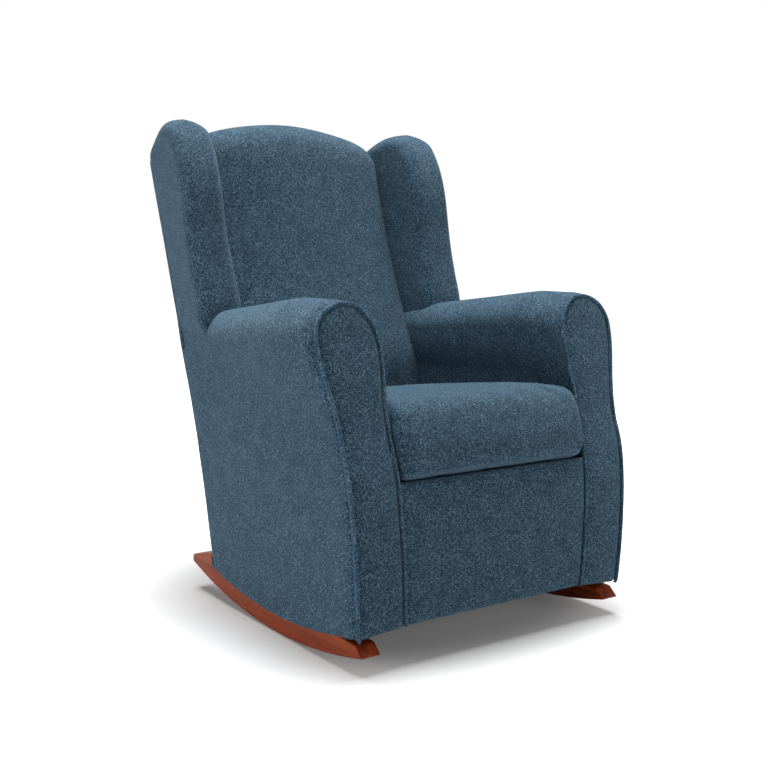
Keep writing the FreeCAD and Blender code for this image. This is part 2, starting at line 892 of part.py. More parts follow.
def cushion(inset):
    half = seat_half - soft_gap - inset
    straight = half - cushion_rounding
    across = [cushion_section(share * straight, 0, inset) for share in cushion_middle_shares]
    ends = []
    for share in cushion_end_shares:
        ends.append(cushion_section(straight + share * cushion_rounding, share, inset))
    end = Part.makeLoft(ends, True, True)
    return Part.makeLoft(across, True, False).fuse(end).fuse(mirrored(end))


filling = cushion(cover_layer)
keep("seat_cushion_cover", on_slope(minus(cushion(0), filling)))
keep("seat_cushion_filling", on_slope(filling))

# Move everything so that the origin is the middle of the footprint, and write the files
os.makedirs("parts", exist_ok=True)
boxes = [shape.optimalBoundingBox(True, False) for shape in shapes.values()]
shift_y = -(min(b.YMin for b in boxes) + max(b.YMax for b in boxes)) / 2
for name, shape in sorted(shapes.items()):
    shape = shape.copy()
    shape.translate(Vector(0, shift_y, 0))
    solids = shape.Solids
    print(f"{name:24s} solids {len(solids):2d} volume {shape.Volume / 1000:8.1f} cm3 valid {shape.isValid()}")
    shape.exportStep(os.path.join("parts", name + ".step"))
print("footprint moved by", round(shift_y, 3))
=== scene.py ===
import math

import bmesh
import bpy
import numpy as np
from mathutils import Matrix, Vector


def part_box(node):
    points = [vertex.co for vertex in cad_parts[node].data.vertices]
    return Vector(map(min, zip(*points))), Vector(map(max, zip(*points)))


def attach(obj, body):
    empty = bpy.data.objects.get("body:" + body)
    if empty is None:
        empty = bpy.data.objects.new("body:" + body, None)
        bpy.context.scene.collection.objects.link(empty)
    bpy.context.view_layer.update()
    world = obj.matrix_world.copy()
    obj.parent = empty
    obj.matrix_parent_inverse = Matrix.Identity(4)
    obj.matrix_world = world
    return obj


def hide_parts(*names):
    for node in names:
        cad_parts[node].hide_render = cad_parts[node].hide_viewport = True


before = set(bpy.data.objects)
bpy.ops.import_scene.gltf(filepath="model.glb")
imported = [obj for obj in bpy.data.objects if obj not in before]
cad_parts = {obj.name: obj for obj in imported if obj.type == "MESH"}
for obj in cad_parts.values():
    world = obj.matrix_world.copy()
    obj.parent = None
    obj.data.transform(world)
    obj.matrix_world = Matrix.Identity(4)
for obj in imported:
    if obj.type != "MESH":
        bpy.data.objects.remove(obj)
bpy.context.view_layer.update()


# Runners. Two boards of hardwood, sawn to a long arc below and straight on top, with eased edges,
# a blunt nose and a small round tail. Stained red-brown and lacquered, screwed up into the base rails.
rng = np.random.default_rng(7)
runner_radius = 1.250
runner_width = 0.043
runner_outer_x = 0.320
contact_setback = 0.290
runner_front_setback = -0.009
runner_tail_setback = 0.670
runner_nose_height = 0.019
runner_nose_back = 0.021
runner_tail_height = 0.018
runner_heel_setback = 0.591
runner_heel_depth = 0.054
runner_easing = 0.0028
sole_steps = 44
front_bulge = 0.006
foot_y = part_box("apron_panel")[0].y + front_bulge


def arc_z(setback):
    """Height of the runner's sole over the floor."""
    return runner_radius - math.sqrt(runner_radius ** 2 - (setback - contact_setback) ** 2)


def evaluated_mesh(piece):
    """The plain mesh that an object and its modifiers make."""
    depsgraph = bpy.context.evaluated_depsgraph_get()
    seen = piece.evaluated_get(depsgraph)
    return bpy.data.meshes.new_from_object(seen, preserve_all_data_layers=True, depsgraph=depsgraph)


def plain_mesh(piece):
    """Turn a piece and its modifiers into one plain mesh."""
    made = evaluated_mesh(piece)
    piece.modifiers.clear()
    piece.data = made
    return piece


def add_object(name, data):
    made = bpy.data.objects.new(name, data)
    bpy.context.scene.collection.objects.link(made)
    return made


def turn_outwards(piece):
    """Point the faces of a closed piece outwards."""
    shell = bmesh.new()
    shell.from_mesh(piece.data)
    bmesh.ops.recalc_face_normals(shell, faces=shell.faces)
    shell.to_mesh(piece.data)
    shell.free()


def make_piece(name, points, faces, material, cloth=None, hint=None):
    """A mesh from points given by setback behind the apron's foot.

    cloth gives each point its place on the bolt, and hint is a way that most of the piece faces.
    """
    points = np.array(points, float) + np.array([0, foot_y, 0])
    mesh = bpy.data.meshes.new(name)
    mesh.from_pydata(points.tolist(), [], faces)
    if hint is not None:
        total = sum((p.normal * p.area for p in mesh.polygons), Vector())
        if total.dot(Vector(hint)) < 0:
            mesh.flip_normals()
    if cloth is not None:
        layer = mesh.uv_layers.new(name="cloth")
        for loop in mesh.loops:
            layer.data[loop.index].uv = cloth[loop.vertex_index]
    mesh.shade_smooth()
    mesh.materials.append(material)
    return add_object(name, mesh)


def new_material(name, roughness, specular=0.5):
    material = bpy.data.materials.new(name)
    material.use_nodes = True
    shader = material.node_tree.nodes["Principled BSDF"]
    shader.inputs["Roughness"].default_value = roughness
    shader.inputs["Specular IOR Level"].default_value = specular
    return material, material.node_tree, shader


def node(tree, kind, **values):
    """A node with its properties and inputs set by name, or by number as i0, and sockets linked."""
    made = tree.nodes.new(kind)
    for key, value in values.items():
        if hasattr(made, key):
            setattr(made, key, value)
            continue
        numbered = key[0] == "i" and key[1:].isdigit()
        socket = made.inputs[int(key[1:]) if numbered else key.replace("_", " ")]
        if isinstance(value, bpy.types.NodeSocket):
            tree.links.new(value, socket)
        else:
            socket.default_value = value
    return made


def maths(tree, operation, a, b=0.0, c=0.0):
    return node(tree, "ShaderNodeMath", operation=operation, i0=a, i1=b, i2=c).outputs[0]


def ramp(tree, factor, *stops):
    made = node(tree, "ShaderNodeValToRGB", Fac=factor)
    while len(made.color_ramp.elements) < len(stops):
        made.color_ramp.elements.new(0.5)
    for element, (place, colour) in zip(made.color_ramp.elements, stops):
        element.position = place
        element.color = (*colour, 1)
    return made.outputs["Color"]


def mapped(tree, place, **values):
    return node(tree, "ShaderNodeMapping", Vector=place, **values).outputs[0]


def noise(tree, place, scale, detail, roughness=0.5, distortion=0.0):
    made = node(
        tree, "ShaderNodeTexNoise", Vector=place, Scale=scale, Detail=detail, Roughness=roughness,
        Distortion=distortion,
    )
    return made.outputs["Fac"]


def wood(name, dark, middle, light, roughness, coat, grain_scale, bump_height):
    """Wood with its grain along the chair, drawn on Object coordinates."""
    material, tree, shader = new_material(name, roughness, 0.12)
    place = node(tree, "ShaderNodeTexCoord").outputs["Object"]
    along = mapped(tree, place, Scale=(grain_scale, grain_scale / 22, grain_scale))
    fine = mapped(tree, place, Scale=(grain_scale * 9, grain_scale / 6, grain_scale * 9))
    figure = noise(tree, along, 1.0, 5.0, 0.62, 1.3)
    pores = noise(tree, fine, 1.0, 3.0, 0.6)
    mixed = maths(tree, "MULTIPLY_ADD", figure, 0.75, maths(tree, "MULTIPLY", pores, 0.25))
    colour = ramp(tree, mixed, (0.33, dark), (0.5, middle), (0.68, light))
    tree.links.new(colour, shader.inputs["Base Color"])
    bump = node(tree, "ShaderNodeBump", Height=pores, Strength=0.5, Distance=bump_height)
    tree.links.new(bump.outputs[0], shader.inputs["Normal"])
    rough = node(tree, "ShaderNodeMapRange", Value=mixed, To_Min=roughness + 0.08, To_Max=roughness - 0.06)
    tree.links.new(rough.outputs[0], shader.inputs["Roughness"])
    shader.inputs["Coat Weight"].default_value = coat
    shader.inputs["Coat Roughness"].default_value = 0.22
    return material


stained_wood = wood(
    "stained_hardwood", (0.080, 0.0085, 0.0015), (0.185, 0.026, 0.0045), (0.31, 0.059, 0.010),
    roughness=0.45, coat=0.05, grain_scale=26, bump_height=0.0003,
)


def runner_outline():
    """The runner seen from the side, anticlockwise from its nose."""
    heel_z = arc_z(runner_heel_setback) + runner_heel_depth
    tail_z = arc_z(runner_tail_setback)
    corner = runner_tail_height / 2
    outline = []
    for setback in np.linspace(runner_front_setback, runner_tail_setback, sole_steps):
        outline.append((setback, arc_z(setback)))
    outline.append((runner_tail_setback, tail_z + corner))
    for turn in np.linspace(0.2, 1.0, 5) * math.pi / 2:
        setback = runner_tail_setback - corner * (1 - math.cos(turn))
        outline.append((setback, tail_z + corner + corner * math.sin(turn)))
    outline.append((runner_heel_setback, heel_z))
    nose_z = arc_z(runner_front_setback) + runner_nose_height
    outline.append((runner_front_setback + runner_nose_back, nose_z))
    return outline


def make_runner(side_name, side):
    outline = runner_outline()
    count = len(outline)
    inner = [(side * (runner_outer_x - runner_width), y, z) for y, z in outline]
    outer = [(side * runner_outer_x, y, z) for y, z in outline]
    faces = [tuple(range(count)), tuple(range(2 * count - 1, count - 1, -1))]
    faces += [(i, (i + 1) % count, count + (i + 1) % count, count + i) for i in range(count)]
    piece = make_piece("rocker_" + side_name, inner + outer, faces, stained_wood)
    turn_outwards(piece)
    bevel = piece.modifiers.new("easing", "BEVEL")
    bevel.width = runner_easing
    bevel.segments = 4
    bevel.limit_method = "ANGLE"
    bevel.angle_limit = math.radians(35)
    piece.modifiers.new("flat faces", "WEIGHTED_NORMAL")
    plain_mesh(piece)
    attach(piece, "root")
    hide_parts("runner_" + side_name)


sides = (("right", 1), ("left", -1))
for side_name, side in sides:
    make_runner(side_name, side)


# Frame. Sawn softwood rails and posts and plywood boards, glued and screwed, nearly all hidden by covers.
# Steel screws hold the runners, and zigzag wire springs sit in clips on the seat rails.
frame_wood = wood(
    "sawn_softwood", (0.42, 0.26, 0.13), (0.58, 0.40, 0.22), (0.70, 0.53, 0.33),
    roughness=0.72, coat=0.0, grain_scale=34, bump_height=0.0006,
)
# The base rails show in the gap between the side's hem and the runner. They are coloured near black as
# painted shadow for that gap, not as a stain on the real rails.
rail_shadow_wood = wood(
    "softwood_painted_shadow", (0.020, 0.008, 0.005), (0.035, 0.014, 0.008), (0.055, 0.022, 0.012),
    roughness=0.7, coat=0.0, grain_scale=30, bump_height=0.0005,
)
steel, steel_tree, steel_shader = new_material("plain_steel", 0.38)
steel_shader.inputs["Metallic"].default_value = 1.0
steel_place = node(steel_tree, "ShaderNodeTexCoord").outputs["Object"]
steel_noise = noise(steel_tree, steel_place, 420.0, 4.0)
steel_colour = ramp(steel_tree, steel_noise, (0.3, (0.36, 0.36, 0.37)), (0.7, (0.58, 0.58, 0.59)))
steel_tree.links.new(steel_colour, steel_shader.inputs["Base Color"])
frame_nodes = (
    "front_post_left", "front_post_right", "rear_post_left", "rear_post_right",
    "arm_board_left", "arm_board_right", "arm_front_board_left", "arm_front_board_right", "front_board",
    "rear_bottom_rail", "seat_front_rail", "seat_rear_rail", "seat_side_rail_left", "seat_side_rail_right",
    "corner_blocks", "back_bottom_rail", "back_middle_rail", "back_top_rail", "wing_board_left",
    "wing_board_right",
)
# These rails get the near-black wood: painted shadow in the gap under the hem.
base_rails = ("base_rail_left", "base_rail_right")
screws_and_springs = ("runner_screws", "seat_springs", "spring_clips")
for names, material in ((frame_nodes, frame_wood), (base_rails, rail_shadow_wood), (screws_and_springs, steel)):
    for name in names:
        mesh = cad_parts[name].data
        mesh.materials.clear()
        mesh.materials.append(material)


# Side covers. One length of cloth over foam, from the hem above the runner up the outer side, over the
# rolled arm and down its inner side to the seat. It turns round the rear corner to meet the outer back.
arm_front_outer = (
    (0.3180, 0.0650), (0.3215, 0.0690), (0.3226, 0.0790), (0.3232, 0.097), (0.3255, 0.143),
    (0.3290, 0.219), (0.3315, 0.268), (0.3330, 0.316),
    (0.3345, 0.362), (0.3345, 0.406), (0.3365, 0.447), (0.3430, 0.490), (0.3485, 0.516), (0.3550, 0.550),
    (0.3585, 0.585), (0.3555, 0.614), (0.3400, 0.639), (0.3180, 0.6525),
)
arm_front_inner = (
    (0.2180, 0.0735), (0.2215, 0.111), (0.2250, 0.206), (0.2285, 0.257), (0.2305, 0.341), (0.2320, 0.410),
    (0.2330, 0.473), (0.2295, 0.505), (0.2260, 0.549), (0.2275, 0.585), (0.2360, 0.619), (0.2540, 0.643),
    (0.2720, 0.6545),
)
arm_front_top = (0.2950, 0.6575)
piping_radius = 0.0035
side_rear_rows = 9
side_middle_rows = 58
hem_reveal = 0.035
front_hem_z = 0.062
front_hem_drop = 0.005
front_hem_reach = 0.03
side_foot_x = 0.328
side_neck_x = 0.341
side_rear_x = 0.325
side_neck_z = 0.440
arm_ridge = 0.664
arm_level_setback = 0.210
arm_taper_length = 0.48
arm_fall = math.tan(math.radians(6.5))
roll_radius = 0.072
roll_x = 0.298
rear_roll_radius = 0.052
seat_half = 0.230
deck_front_z = 0.338
seat_slope = math.tan(math.radians(4))
kink_z = 0.350
kink_setback = 0.633
lower_rake = math.tan(math.radians(13.6))
upper_rake = math.tan(math.radians(20.4))
lean_start_z = 0.300
front_lean = math.tan(math.radians(14))
lean_first_share = 0.35
lean_growth = 0.16
side_taper_start = 0.02
side_taper_length = 0.68
side_foot_tuck = 0.002
side_inner_high_z = 0.475
side_inner_low_z = 0.42
front_draw_length = 0.036
seam_lip = 0.007
seam_depth = 0.0010
side_front_shares = (
    -1, 0, 0.02, 0.05, 0.09, 0.13, 0.165, 0.19, 0.215, 0.24, 0.265, 0.3, 0.36, 0.46, 0.6, 0.78,
)
stitch_setback = 0.0078
stitch_depth = 0.0014
stitch_width = 0.0015
rear_corner_depth = 0.025
rear_corner_width = 0.006
rear_face_width = 0.017
cover_thickness = 0.005


def front_setback(z):
    """Front of the arms and apron, which bulges a little below and leans back above."""
    if z < lean_start_z:
        rise = np.clip((z - front_hem_z) / (lean_start_z - front_hem_z), 0, 1)
        return -4 * front_bulge * rise * (1 - rise)
    above = z - lean_start_z
    return front_lean * above * min(1, lean_first_share + above / lean_growth)


def rear_setback(z):
    """Outer face of the back."""
    return kink_setback + (z - kink_z) * (lower_rake if z < kink_z else upper_rake)


def hem_z(setback):
    """Hem of the side, which keeps its distance from the runner's sole."""
    return runner_radius - math.sqrt((runner_radius - hem_reveal) ** 2 - (setback - contact_setback) ** 2)


def ridge_z(setback):
    return arm_ridge - max(0, setback - arm_level_setback) * arm_fall


def smooth_path(points, count):
    """A rounded line through points, cut into equal steps."""
    points = np.array(points, float)
    ends = np.vstack([2 * points[0] - points[1], points, 2 * points[-1] - points[-2]])
    line = []
    for a, b, c, d in zip(ends, ends[1:], ends[2:], ends[3:]):
        square = 2 * a - 5 * b + 4 * c - d
        cube = 3 * b - a - 3 * c + d
        for t in np.linspace(0, 1, 16, endpoint=False):
            line.append(0.5 * (2 * b + (c - a) * t + square * t ** 2 + cube * t ** 3))
    line = np.array(line + [points[-1]])
    reach = np.concatenate([[0], np.cumsum(np.linalg.norm(np.diff(line, axis=0), axis=1))])
    steps = np.linspace(0, reach[-1], count)
    return np.stack([np.interp(steps, reach, line[:, i]) for i in range(line.shape[1])], axis=1)


def arm_roll(setback):
    """The arm's roll cut across the chair: its radius, and how far out its centre is."""
    back = np.clip((setback - arm_level_setback) / arm_taper_length, 0, 1)
    radius = roll_radius + (rear_roll_radius - roll_radius) * back
    return radius, roll_x + (side_rear_x - rear_roll_radius - roll_x) * back


def side_profile(setback, count):
    """The side cover cut across the chair, from the hem over the arm to the seat."""
    share = np.clip((setback - side_taper_start) / side_taper_length, 0, 1)
    radius, centre_x = arm_roll(setback)
    centre_z = ridge_z(setback) - radius
    foot_x = side_foot_x + (side_rear_x - side_foot_tuck - side_foot_x) * share
    neck_x = side_neck_x + (side_rear_x - side_neck_x) * share
    hem = hem_z(setback) - front_hem_drop * math.exp(-(max(setback, 0) / front_hem_reach) ** 2)
    outer = [
        (foot_x - 0.009, hem + 0.0050), (foot_x - 0.004, hem + 0.0010), (foot_x - 0.0008, hem + 0.0035),
        (foot_x + 0.0012, hem + 0.012), (foot_x + (neck_x - foot_x) * 0.45, 0.2),
        (foot_x + (neck_x - foot_x) * 0.8, 0.33), (neck_x, side_neck_z),
    ]
    neck = []
    for across, down in ((0.75, -1.25), (0.885, -0.76), (0.955, -0.4)):
        neck.append((max(centre_x + across * radius, neck_x + 0.002 * across), centre_z + down * radius))
    roll = []
    for turn in np.radians(np.linspace(-8, 188, 15)):
        roll.append((centre_x + radius * math.cos(turn), centre_z + radius * math.sin(turn)))
    waist_x = min(seat_half - 0.001, centre_x - 0.985 * radius)
    deck = deck_front_z - setback * seat_slope
    wall_x = seat_half + 0.001
    inner = [
        (waist_x - 0.0005, centre_z - 0.55 * radius), ((waist_x + seat_half) / 2, centre_z - 1.15 * radius),
        (seat_half + 0.0008, side_inner_high_z), (wall_x, side_inner_low_z),
        (wall_x, (deck + side_inner_low_z) / 2), (wall_x, deck + 0.001),
    ]
    return smooth_path(outer + neck + roll + inner, count)


def grid_faces(rows, columns, around=False):
    faces = []
    for i in range(rows - 1):
        for j in range(columns if around else columns - 1):
            k = (j + 1) % columns
            faces.append((i * columns + j, i * columns + k, (i + 1) * columns + k, (i + 1) * columns + j))
    return faces


def grid_cloth(grid):
    """Where each point of a grid lies on the flat cloth, in metres along its rows and columns."""
    places = []
    for axis in (1, 0):
        steps = np.diff(grid, axis=axis, prepend=np.take(grid, [0], axis=axis))
        places.append(np.cumsum(np.linalg.norm(steps, axis=2), axis=axis))
    across, down = places
    across -= across[:, across.shape[1] // 2][:, None]
    return np.stack([across.ravel(), down.ravel()], axis=1)


def spread(count):
    """Shares from -1 to 1 that lie closer together at both ends."""
    return np.sin(np.linspace(-1, 1, count) * math.pi / 2)


def eased(count):
    """The same from 0 to 1."""
    return spread(count) * 0.5 + 0.5


def grid_normals(grid):
    along = np.gradient(grid, axis=0)
    across = np.gradient(grid, axis=1)
    normals = np.cross(along, across)
    return normals / np.maximum(np.linalg.norm(normals, axis=2, keepdims=True), 1e-12)


soft_waves = 9


def soft_rise(grid, height, spacing):
    """Lift a grid a little, unevenly and repeatably, as filling under a cover does."""
    lift = np.zeros(grid.shape[:2])
    for number in range(soft_waves):
        wave = rng.normal(size=3)
        wave *= 2 * math.pi / spacing / np.linalg.norm(wave) * (0.6 + 0.8 * rng.random())
        lift += np.sin(grid @ wave + rng.random() * 2 * math.pi)
    return grid + grid_normals(grid) * (lift / soft_waves * 2 * height)[..., None]


upholstery_thread = 0.0017
thread_wander = 0.0022
yarn_scale = 150.0
fleck_scale = 470.0
cloud_scale = 26.0
tone_weights = (0.16, 0.34, 0.22, 0.22, 0.06)
dash_stretches = ((165.0, 540.0, 1.0), (540.0, 165.0, 1.0))
cloth_stops = (
    (0.443, (0.0036, 0.0140, 0.0290)), (0.4875, (0.0158, 0.044, 0.076)),
    (0.521, (0.0365, 0.081, 0.124)), (0.572, (0.1430, 0.230, 0.301)),
)


def upholstery(name, turn=0.0, light=1.0):
    """Plain woven cloth of heathered yarns: dark petrol threads, each uneven along its length."""
    material, tree, shader = new_material(name, 0.94, 0.12)
    bolt = mapped(tree, node(tree, "ShaderNodeUVMap", uv_map="cloth").outputs[0], Rotation=(0, 0, turn))
    shift = node(tree, "ShaderNodeTexNoise", Vector=bolt, Scale=55.0, Detail=2.0).outputs["Color"]
    shift = node(tree, "ShaderNodeVectorMath", operation="SUBTRACT", i0=shift, i1=(0.5, 0.5, 0.5))
    bolt = node(
        tree, "ShaderNodeVectorMath", operation="MULTIPLY_ADD", i0=shift.outputs[0],
        i1=(thread_wander, thread_wander, thread_wander), i2=bolt,
    ).outputs[0]
    split = node(tree, "ShaderNodeSeparateXYZ", Vector=bolt)
    threads = [maths(tree, "DIVIDE", split.outputs[axis], upholstery_thread) for axis in (0, 1)]
    number = [maths(tree, "FLOOR", value) for value in threads]
    round_of = []
    for value in threads:
        half_turn = maths(tree, "MULTIPLY", maths(tree, "FRACT", value), math.pi)
        round_of.append(maths(tree, "SINE", half_turn))
    over = maths(tree, "ABSOLUTE", maths(tree, "ADD", number[0], number[1]))
    over = maths(tree, "MODULO", over, 2.0)
    yarns = []
    for axis, seed in ((1, 3.7), (0, 11.3)):
        along = maths(tree, "MULTIPLY", split.outputs[1 - axis], yarn_scale)
        row = maths(tree, "MULTIPLY", number[axis], 5.37)
        spot = node(tree, "ShaderNodeCombineXYZ", X=along, Y=row, Z=seed).outputs[0]
        yarns.append(noise(tree, spot, 1.0, 2.0, 0.7))
    crossed = []
    for under, upper in (yarns, round_of[::-1]):
        mix = node(tree, "ShaderNodeMix", data_type="FLOAT", Factor=over, A=under, B=upper)
        crossed.append(mix.outputs[0])
    yarn, height = crossed
    fleck = noise(tree, bolt, fleck_scale, 2.0, 0.6)
    cloud = noise(tree, bolt, cloud_scale, 3.0, 0.6)
    dashes = [noise(tree, mapped(tree, bolt, Scale=stretch), 1.0, 2.0, 0.65) for stretch in dash_stretches]
    tone = 0.0
    for part, weight in zip((fleck, yarn, *dashes, cloud), tone_weights):
        tone = maths(tree, "MULTIPLY_ADD", part, weight, tone)
    # light scales every colour of the cloth. Above 1 it is a painted highlight.
    stops = [(place, tuple(light * part for part in colour)) for place, colour in cloth_stops]
    # Painted shade: the colour is darkened towards each thread's edges, where shade falls between the
    # yarns.
    thread_gap_shade = node(
        tree, "ShaderNodeMapRange", Value=height, From_Min=0.0, From_Max=0.75, To_Min=0.55, To_Max=1.0,
    ).outputs[0]
    colour = node(
        tree, "ShaderNodeMix", data_type="RGBA", blend_type="MULTIPLY", i0=1.0,
        i6=ramp(tree, tone, *stops), i7=thread_gap_shade,
    ).outputs[2]
    tree.links.new(colour, shader.inputs["Base Color"])
    lift = maths(tree, "MULTIPLY_ADD", yarn, 0.6, maths(tree, "MULTIPLY", height, 0.6))
    weave = node(tree, "ShaderNodeBump", Height=lift, Strength=0.75, Distance=0.0007).outputs[0]
    soft = node(tree, "ShaderNodeBump", Height=cloud, Strength=0.35, Distance=0.0022, Normal=weave)
    soft = soft.outputs[0]
    tree.links.new(soft, shader.inputs["Normal"])
    shader.inputs["Sheen Weight"].default_value = 0.20
    shader.inputs["Sheen Roughness"].default_value = 0.55
    shader.inputs["Sheen Tint"].default_value = (0.50, 0.72, 0.88, 1)
    return material


cloth = upholstery("petrol_cloth")


def cover_grid(name, grid, hint, thickness=cover_thickness, material=cloth, levels=1, around=False):
    """A padded cover from a grid of points: rounded once, then given its thickness inwards."""
    rows, columns = grid.shape[:2]
    faces = grid_faces(rows, columns, around)
    piece = make_piece(name, grid.reshape(-1, 3), faces, material, grid_cloth(grid), hint)
    if levels:
        rounding = piece.modifiers.new("rounding", "SUBSURF")
        rounding.levels = rounding.render_levels = levels
    wall = piece.modifiers.new("wall", "SOLIDIFY")
    wall.thickness = thickness
    wall.offset = -1
    wall.use_rim = True
    return plain_mesh(piece)


def side_grid(seam):
    """Rows from the front seam to the rear corner, each across from the hem over the arm to the seat."""
    columns = 96
    behind = rear_corner_depth
    setbacks = np.arange(-0.02, 0.80, 0.005)
    profiles = np.array([side_profile(setback, columns) for setback in setbacks])
    steps = [("front", share) for share in side_front_shares]
    steps += [("middle", share) for share in np.linspace(0, 1, side_middle_rows, endpoint=False)]
    steps += [("rear", share) for share in np.linspace(0, 1, side_rear_rows)]
    steps += [("turned", share) for share in (0.5, 1)]
    nominal = side_profile(0.1, columns)
    rows = []
    for zone, share in steps:
        row = np.zeros((columns, 3))
        for column in range(columns):
            z = nominal[column, 1]
            for trial in range(4):
                start = front_setback(z)
                end = rear_setback(z)
                draw = 0.0
                if zone == "front":
                    y = start + seam_depth + front_draw_length * max(share, 0)
                elif zone == "middle":
                    begin = start + seam_depth + front_draw_length * 0.97
                    y = begin + (end - behind - begin) * share
                elif zone == "turned":
                    y = end
                    draw = rear_corner_width + rear_face_width * share
                else:
                    y = end - behind + behind * math.sin(share * math.pi / 2)
                    draw = rear_corner_width * (1 - math.cos(share * math.pi / 2))
                place = (y - setbacks[0]) / (setbacks[1] - setbacks[0])
                near = int(place)
                profile = profiles[near:near + 2].T @ np.array([near + 1 - place, place - near])
                x, z = profile[:, column]
            along = profile[:, min(column + 1, columns - 1)] - profile[:, max(column - 1, 0)]
            along /= max(np.linalg.norm(along), 1e-9)
            inwards = np.array([-along[1], along[0]])
            spot = np.array([x, z]) + inwards * draw
            if zone == "front":
                nearest = seam[np.argmin(np.linalg.norm(seam - spot, axis=1))]
                seam_spot = nearest + inwards * piping_radius * 0.25
                pull = (1 - max(share, 0)) ** 2.6
                spot = spot + (seam_spot - spot) * pull
                off_stitch = (front_draw_length * share - stitch_setback) / stitch_width
                spot = spot + inwards * stitch_depth * math.exp(-off_stitch ** 2) * (x > roll_x)
                if share < 0:
                    spot = spot + inwards * seam_lip
                    y += 0.005
            row[column] = (spot[0], y, spot[1])
        rows.append(row)
    return np.array(rows)


arm_seam = smooth_path(arm_front_outer + (arm_front_top,) + arm_front_inner[::-1], 500)
right_side = side_grid(arm_seam)
lifted = soft_rise(right_side, 0.0006, 0.19)
for side_name, side in sides:
    grid = lifted * np.array([side, 1, 1])
    piece = cover_grid("side_cover_" + side_name, grid, (side, 0, 0.2))
    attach(piece, "root")
    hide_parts("arm_pad_" + side_name, "outer_side_panel_" + side_name)


# Arm fronts. A key-hole shaped board, padded and covered, with piping sewn into the seam that runs over
# it from foot to foot. The panel is a little fuller in its middle and leans back with the arm.
panel_fill = dict(crown=0.0045, reach=0.014, tuck=0.0050, tuck_reach=0.0035)
panel_rim = 0.014
panel_foot_z = 0.060


def filled(edge, crown, reach, tuck, tuck_reach):
    """How far a cover stands out at a distance from its edge, where it is tucked in."""
    return crown * (1 - math.exp(-edge / reach)) - tuck * math.exp(-edge / tuck_reach)


def arm_front_grid():
    """Rows across the panel, from its foot to its closed top, with a rim turned back into the seam."""
    rows, columns = 60, 17
    outer = smooth_path(arm_front_outer + (arm_front_top,), rows)
    inner = smooth_path(arm_front_inner + (arm_front_top,), rows)
    shares = eased(columns)
    grid = np.zeros((rows + 1, columns + 2, 3))
    for i in range(rows + 1):
        row = max(i - 1, 0)
        for j in range(columns + 2):
            share = shares[min(max(j - 1, 0), columns - 1)]
            x, z = inner[row] + (outer[row] - inner[row]) * share
            edge = min(share, 1 - share) * np.linalg.norm(outer[row] - inner[row])
            rise = filled(min(edge, 0.9 * (z - panel_foot_z)), **panel_fill)
            if i == 0 or j in (0, columns + 1):
                rise = -panel_rim
            grid[i, j] = (x, front_setback(z) - rise, z)
    return grid


for side_name, side in sides:
    grid = arm_front_grid() * np.array([side, 1, 1])
    piece = cover_grid("arm_front_cover_" + side_name, grid, (0, -1, 0))
    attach(piece, "root")
    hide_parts("arm_front_panel_" + side_name)


def maker_tree(name, *sizes):
    """A node tree that takes a line and named sizes, with its input node."""
    tree = bpy.data.node_groups.new(name, "GeometryNodeTree")
    tree.interface.new_socket("Geometry", in_out="INPUT", socket_type="NodeSocketGeometry")
    for size in sizes:
        tree.interface.new_socket(size, in_out="INPUT", socket_type="NodeSocketFloat")
    tree.interface.new_socket("Geometry", in_out="OUTPUT", socket_type="NodeSocketGeometry")
    return tree, tree.nodes.new("NodeGroupInput")


def end_tree(tree, geometry, material):
    """End a tree: real geometry, shaded smooth, of one material."""
    real = node(tree, "GeometryNodeRealizeInstances", Geometry=geometry)
    smooth = node(tree, "GeometryNodeSetShadeSmooth", Geometry=real.outputs[0])
    coloured = node(tree, "GeometryNodeSetMaterial", Geometry=smooth.outputs[0], Material=material)
    end = tree.nodes.new("NodeGroupOutput")
    tree.links.new(coloured.outputs[0], end.inputs["Geometry"])
    return tree


def kept_length(tree, curve, name):
    """A curve with its length so far kept on its points: the curve's socket and the length's."""
    along = tree.nodes.new("GeometryNodeSplineParameter")
    keep = node(tree, "GeometryNodeCaptureAttribute", domain="POINT")
    keep.capture_items.new("FLOAT", name)
    tree.links.new(curve, keep.inputs["Geometry"])
    tree.links.new(along.outputs["Length"], keep.inputs[1])
    return keep.outputs["Geometry"], keep.outputs[1]


def piping_tree(material):
    """A cord of cloth along a curve: its ring, its place on the bolt and its material."""
    tree, start = maker_tree("piping", "Radius")
    line, along = kept_length(tree, start.outputs["Geometry"], "along")
    ring = node(tree, "GeometryNodeCurvePrimitiveCircle", Resolution=14)
    tree.links.new(start.outputs["Radius"], ring.inputs["Radius"])
    profile, around = kept_length(tree, ring.outputs["Curve"], "around")
    tube = node(tree, "GeometryNodeCurveToMesh", Curve=line, Profile_Curve=profile, Fill_Caps=True)
    place = node(tree, "ShaderNodeCombineXYZ", X=along, Y=around)
    stored = node(
        tree, "GeometryNodeStoreNamedAttribute", data_type="FLOAT2", domain="CORNER",
        Geometry=tube.outputs[0], Name="cloth",
    )
    value = [socket for socket in stored.inputs if socket.name == "Value" and socket.enabled][0]
    tree.links.new(place.outputs[0], value)
    return end_tree(tree, stored.outputs[0], material)


def along_line(name, path, tree, closed=False, **sizes):
    """What a tree makes along a line, as one plain mesh. sizes are the tree's named inputs."""
    curve = bpy.data.curves.new(name, "CURVE")
    curve.dimensions = "3D"
    spline = curve.splines.new("POLY")
    spline.points.add(len(path) - 1)
    for point, place in zip(spline.points, path):
        point.co = (*place, 1)
    spline.use_cyclic_u = closed
    line = add_object(name + "_line", curve)
    maker = line.modifiers.new("maker", "NODES")
    maker.node_group = tree
    for item in tree.interface.items_tree:
        if item.name in sizes:
            maker[item.identifier] = sizes[item.name]
    bpy.context.view_layer.update()
    mesh = evaluated_mesh(line)
    bpy.data.objects.remove(line)
    return add_object(name, mesh)


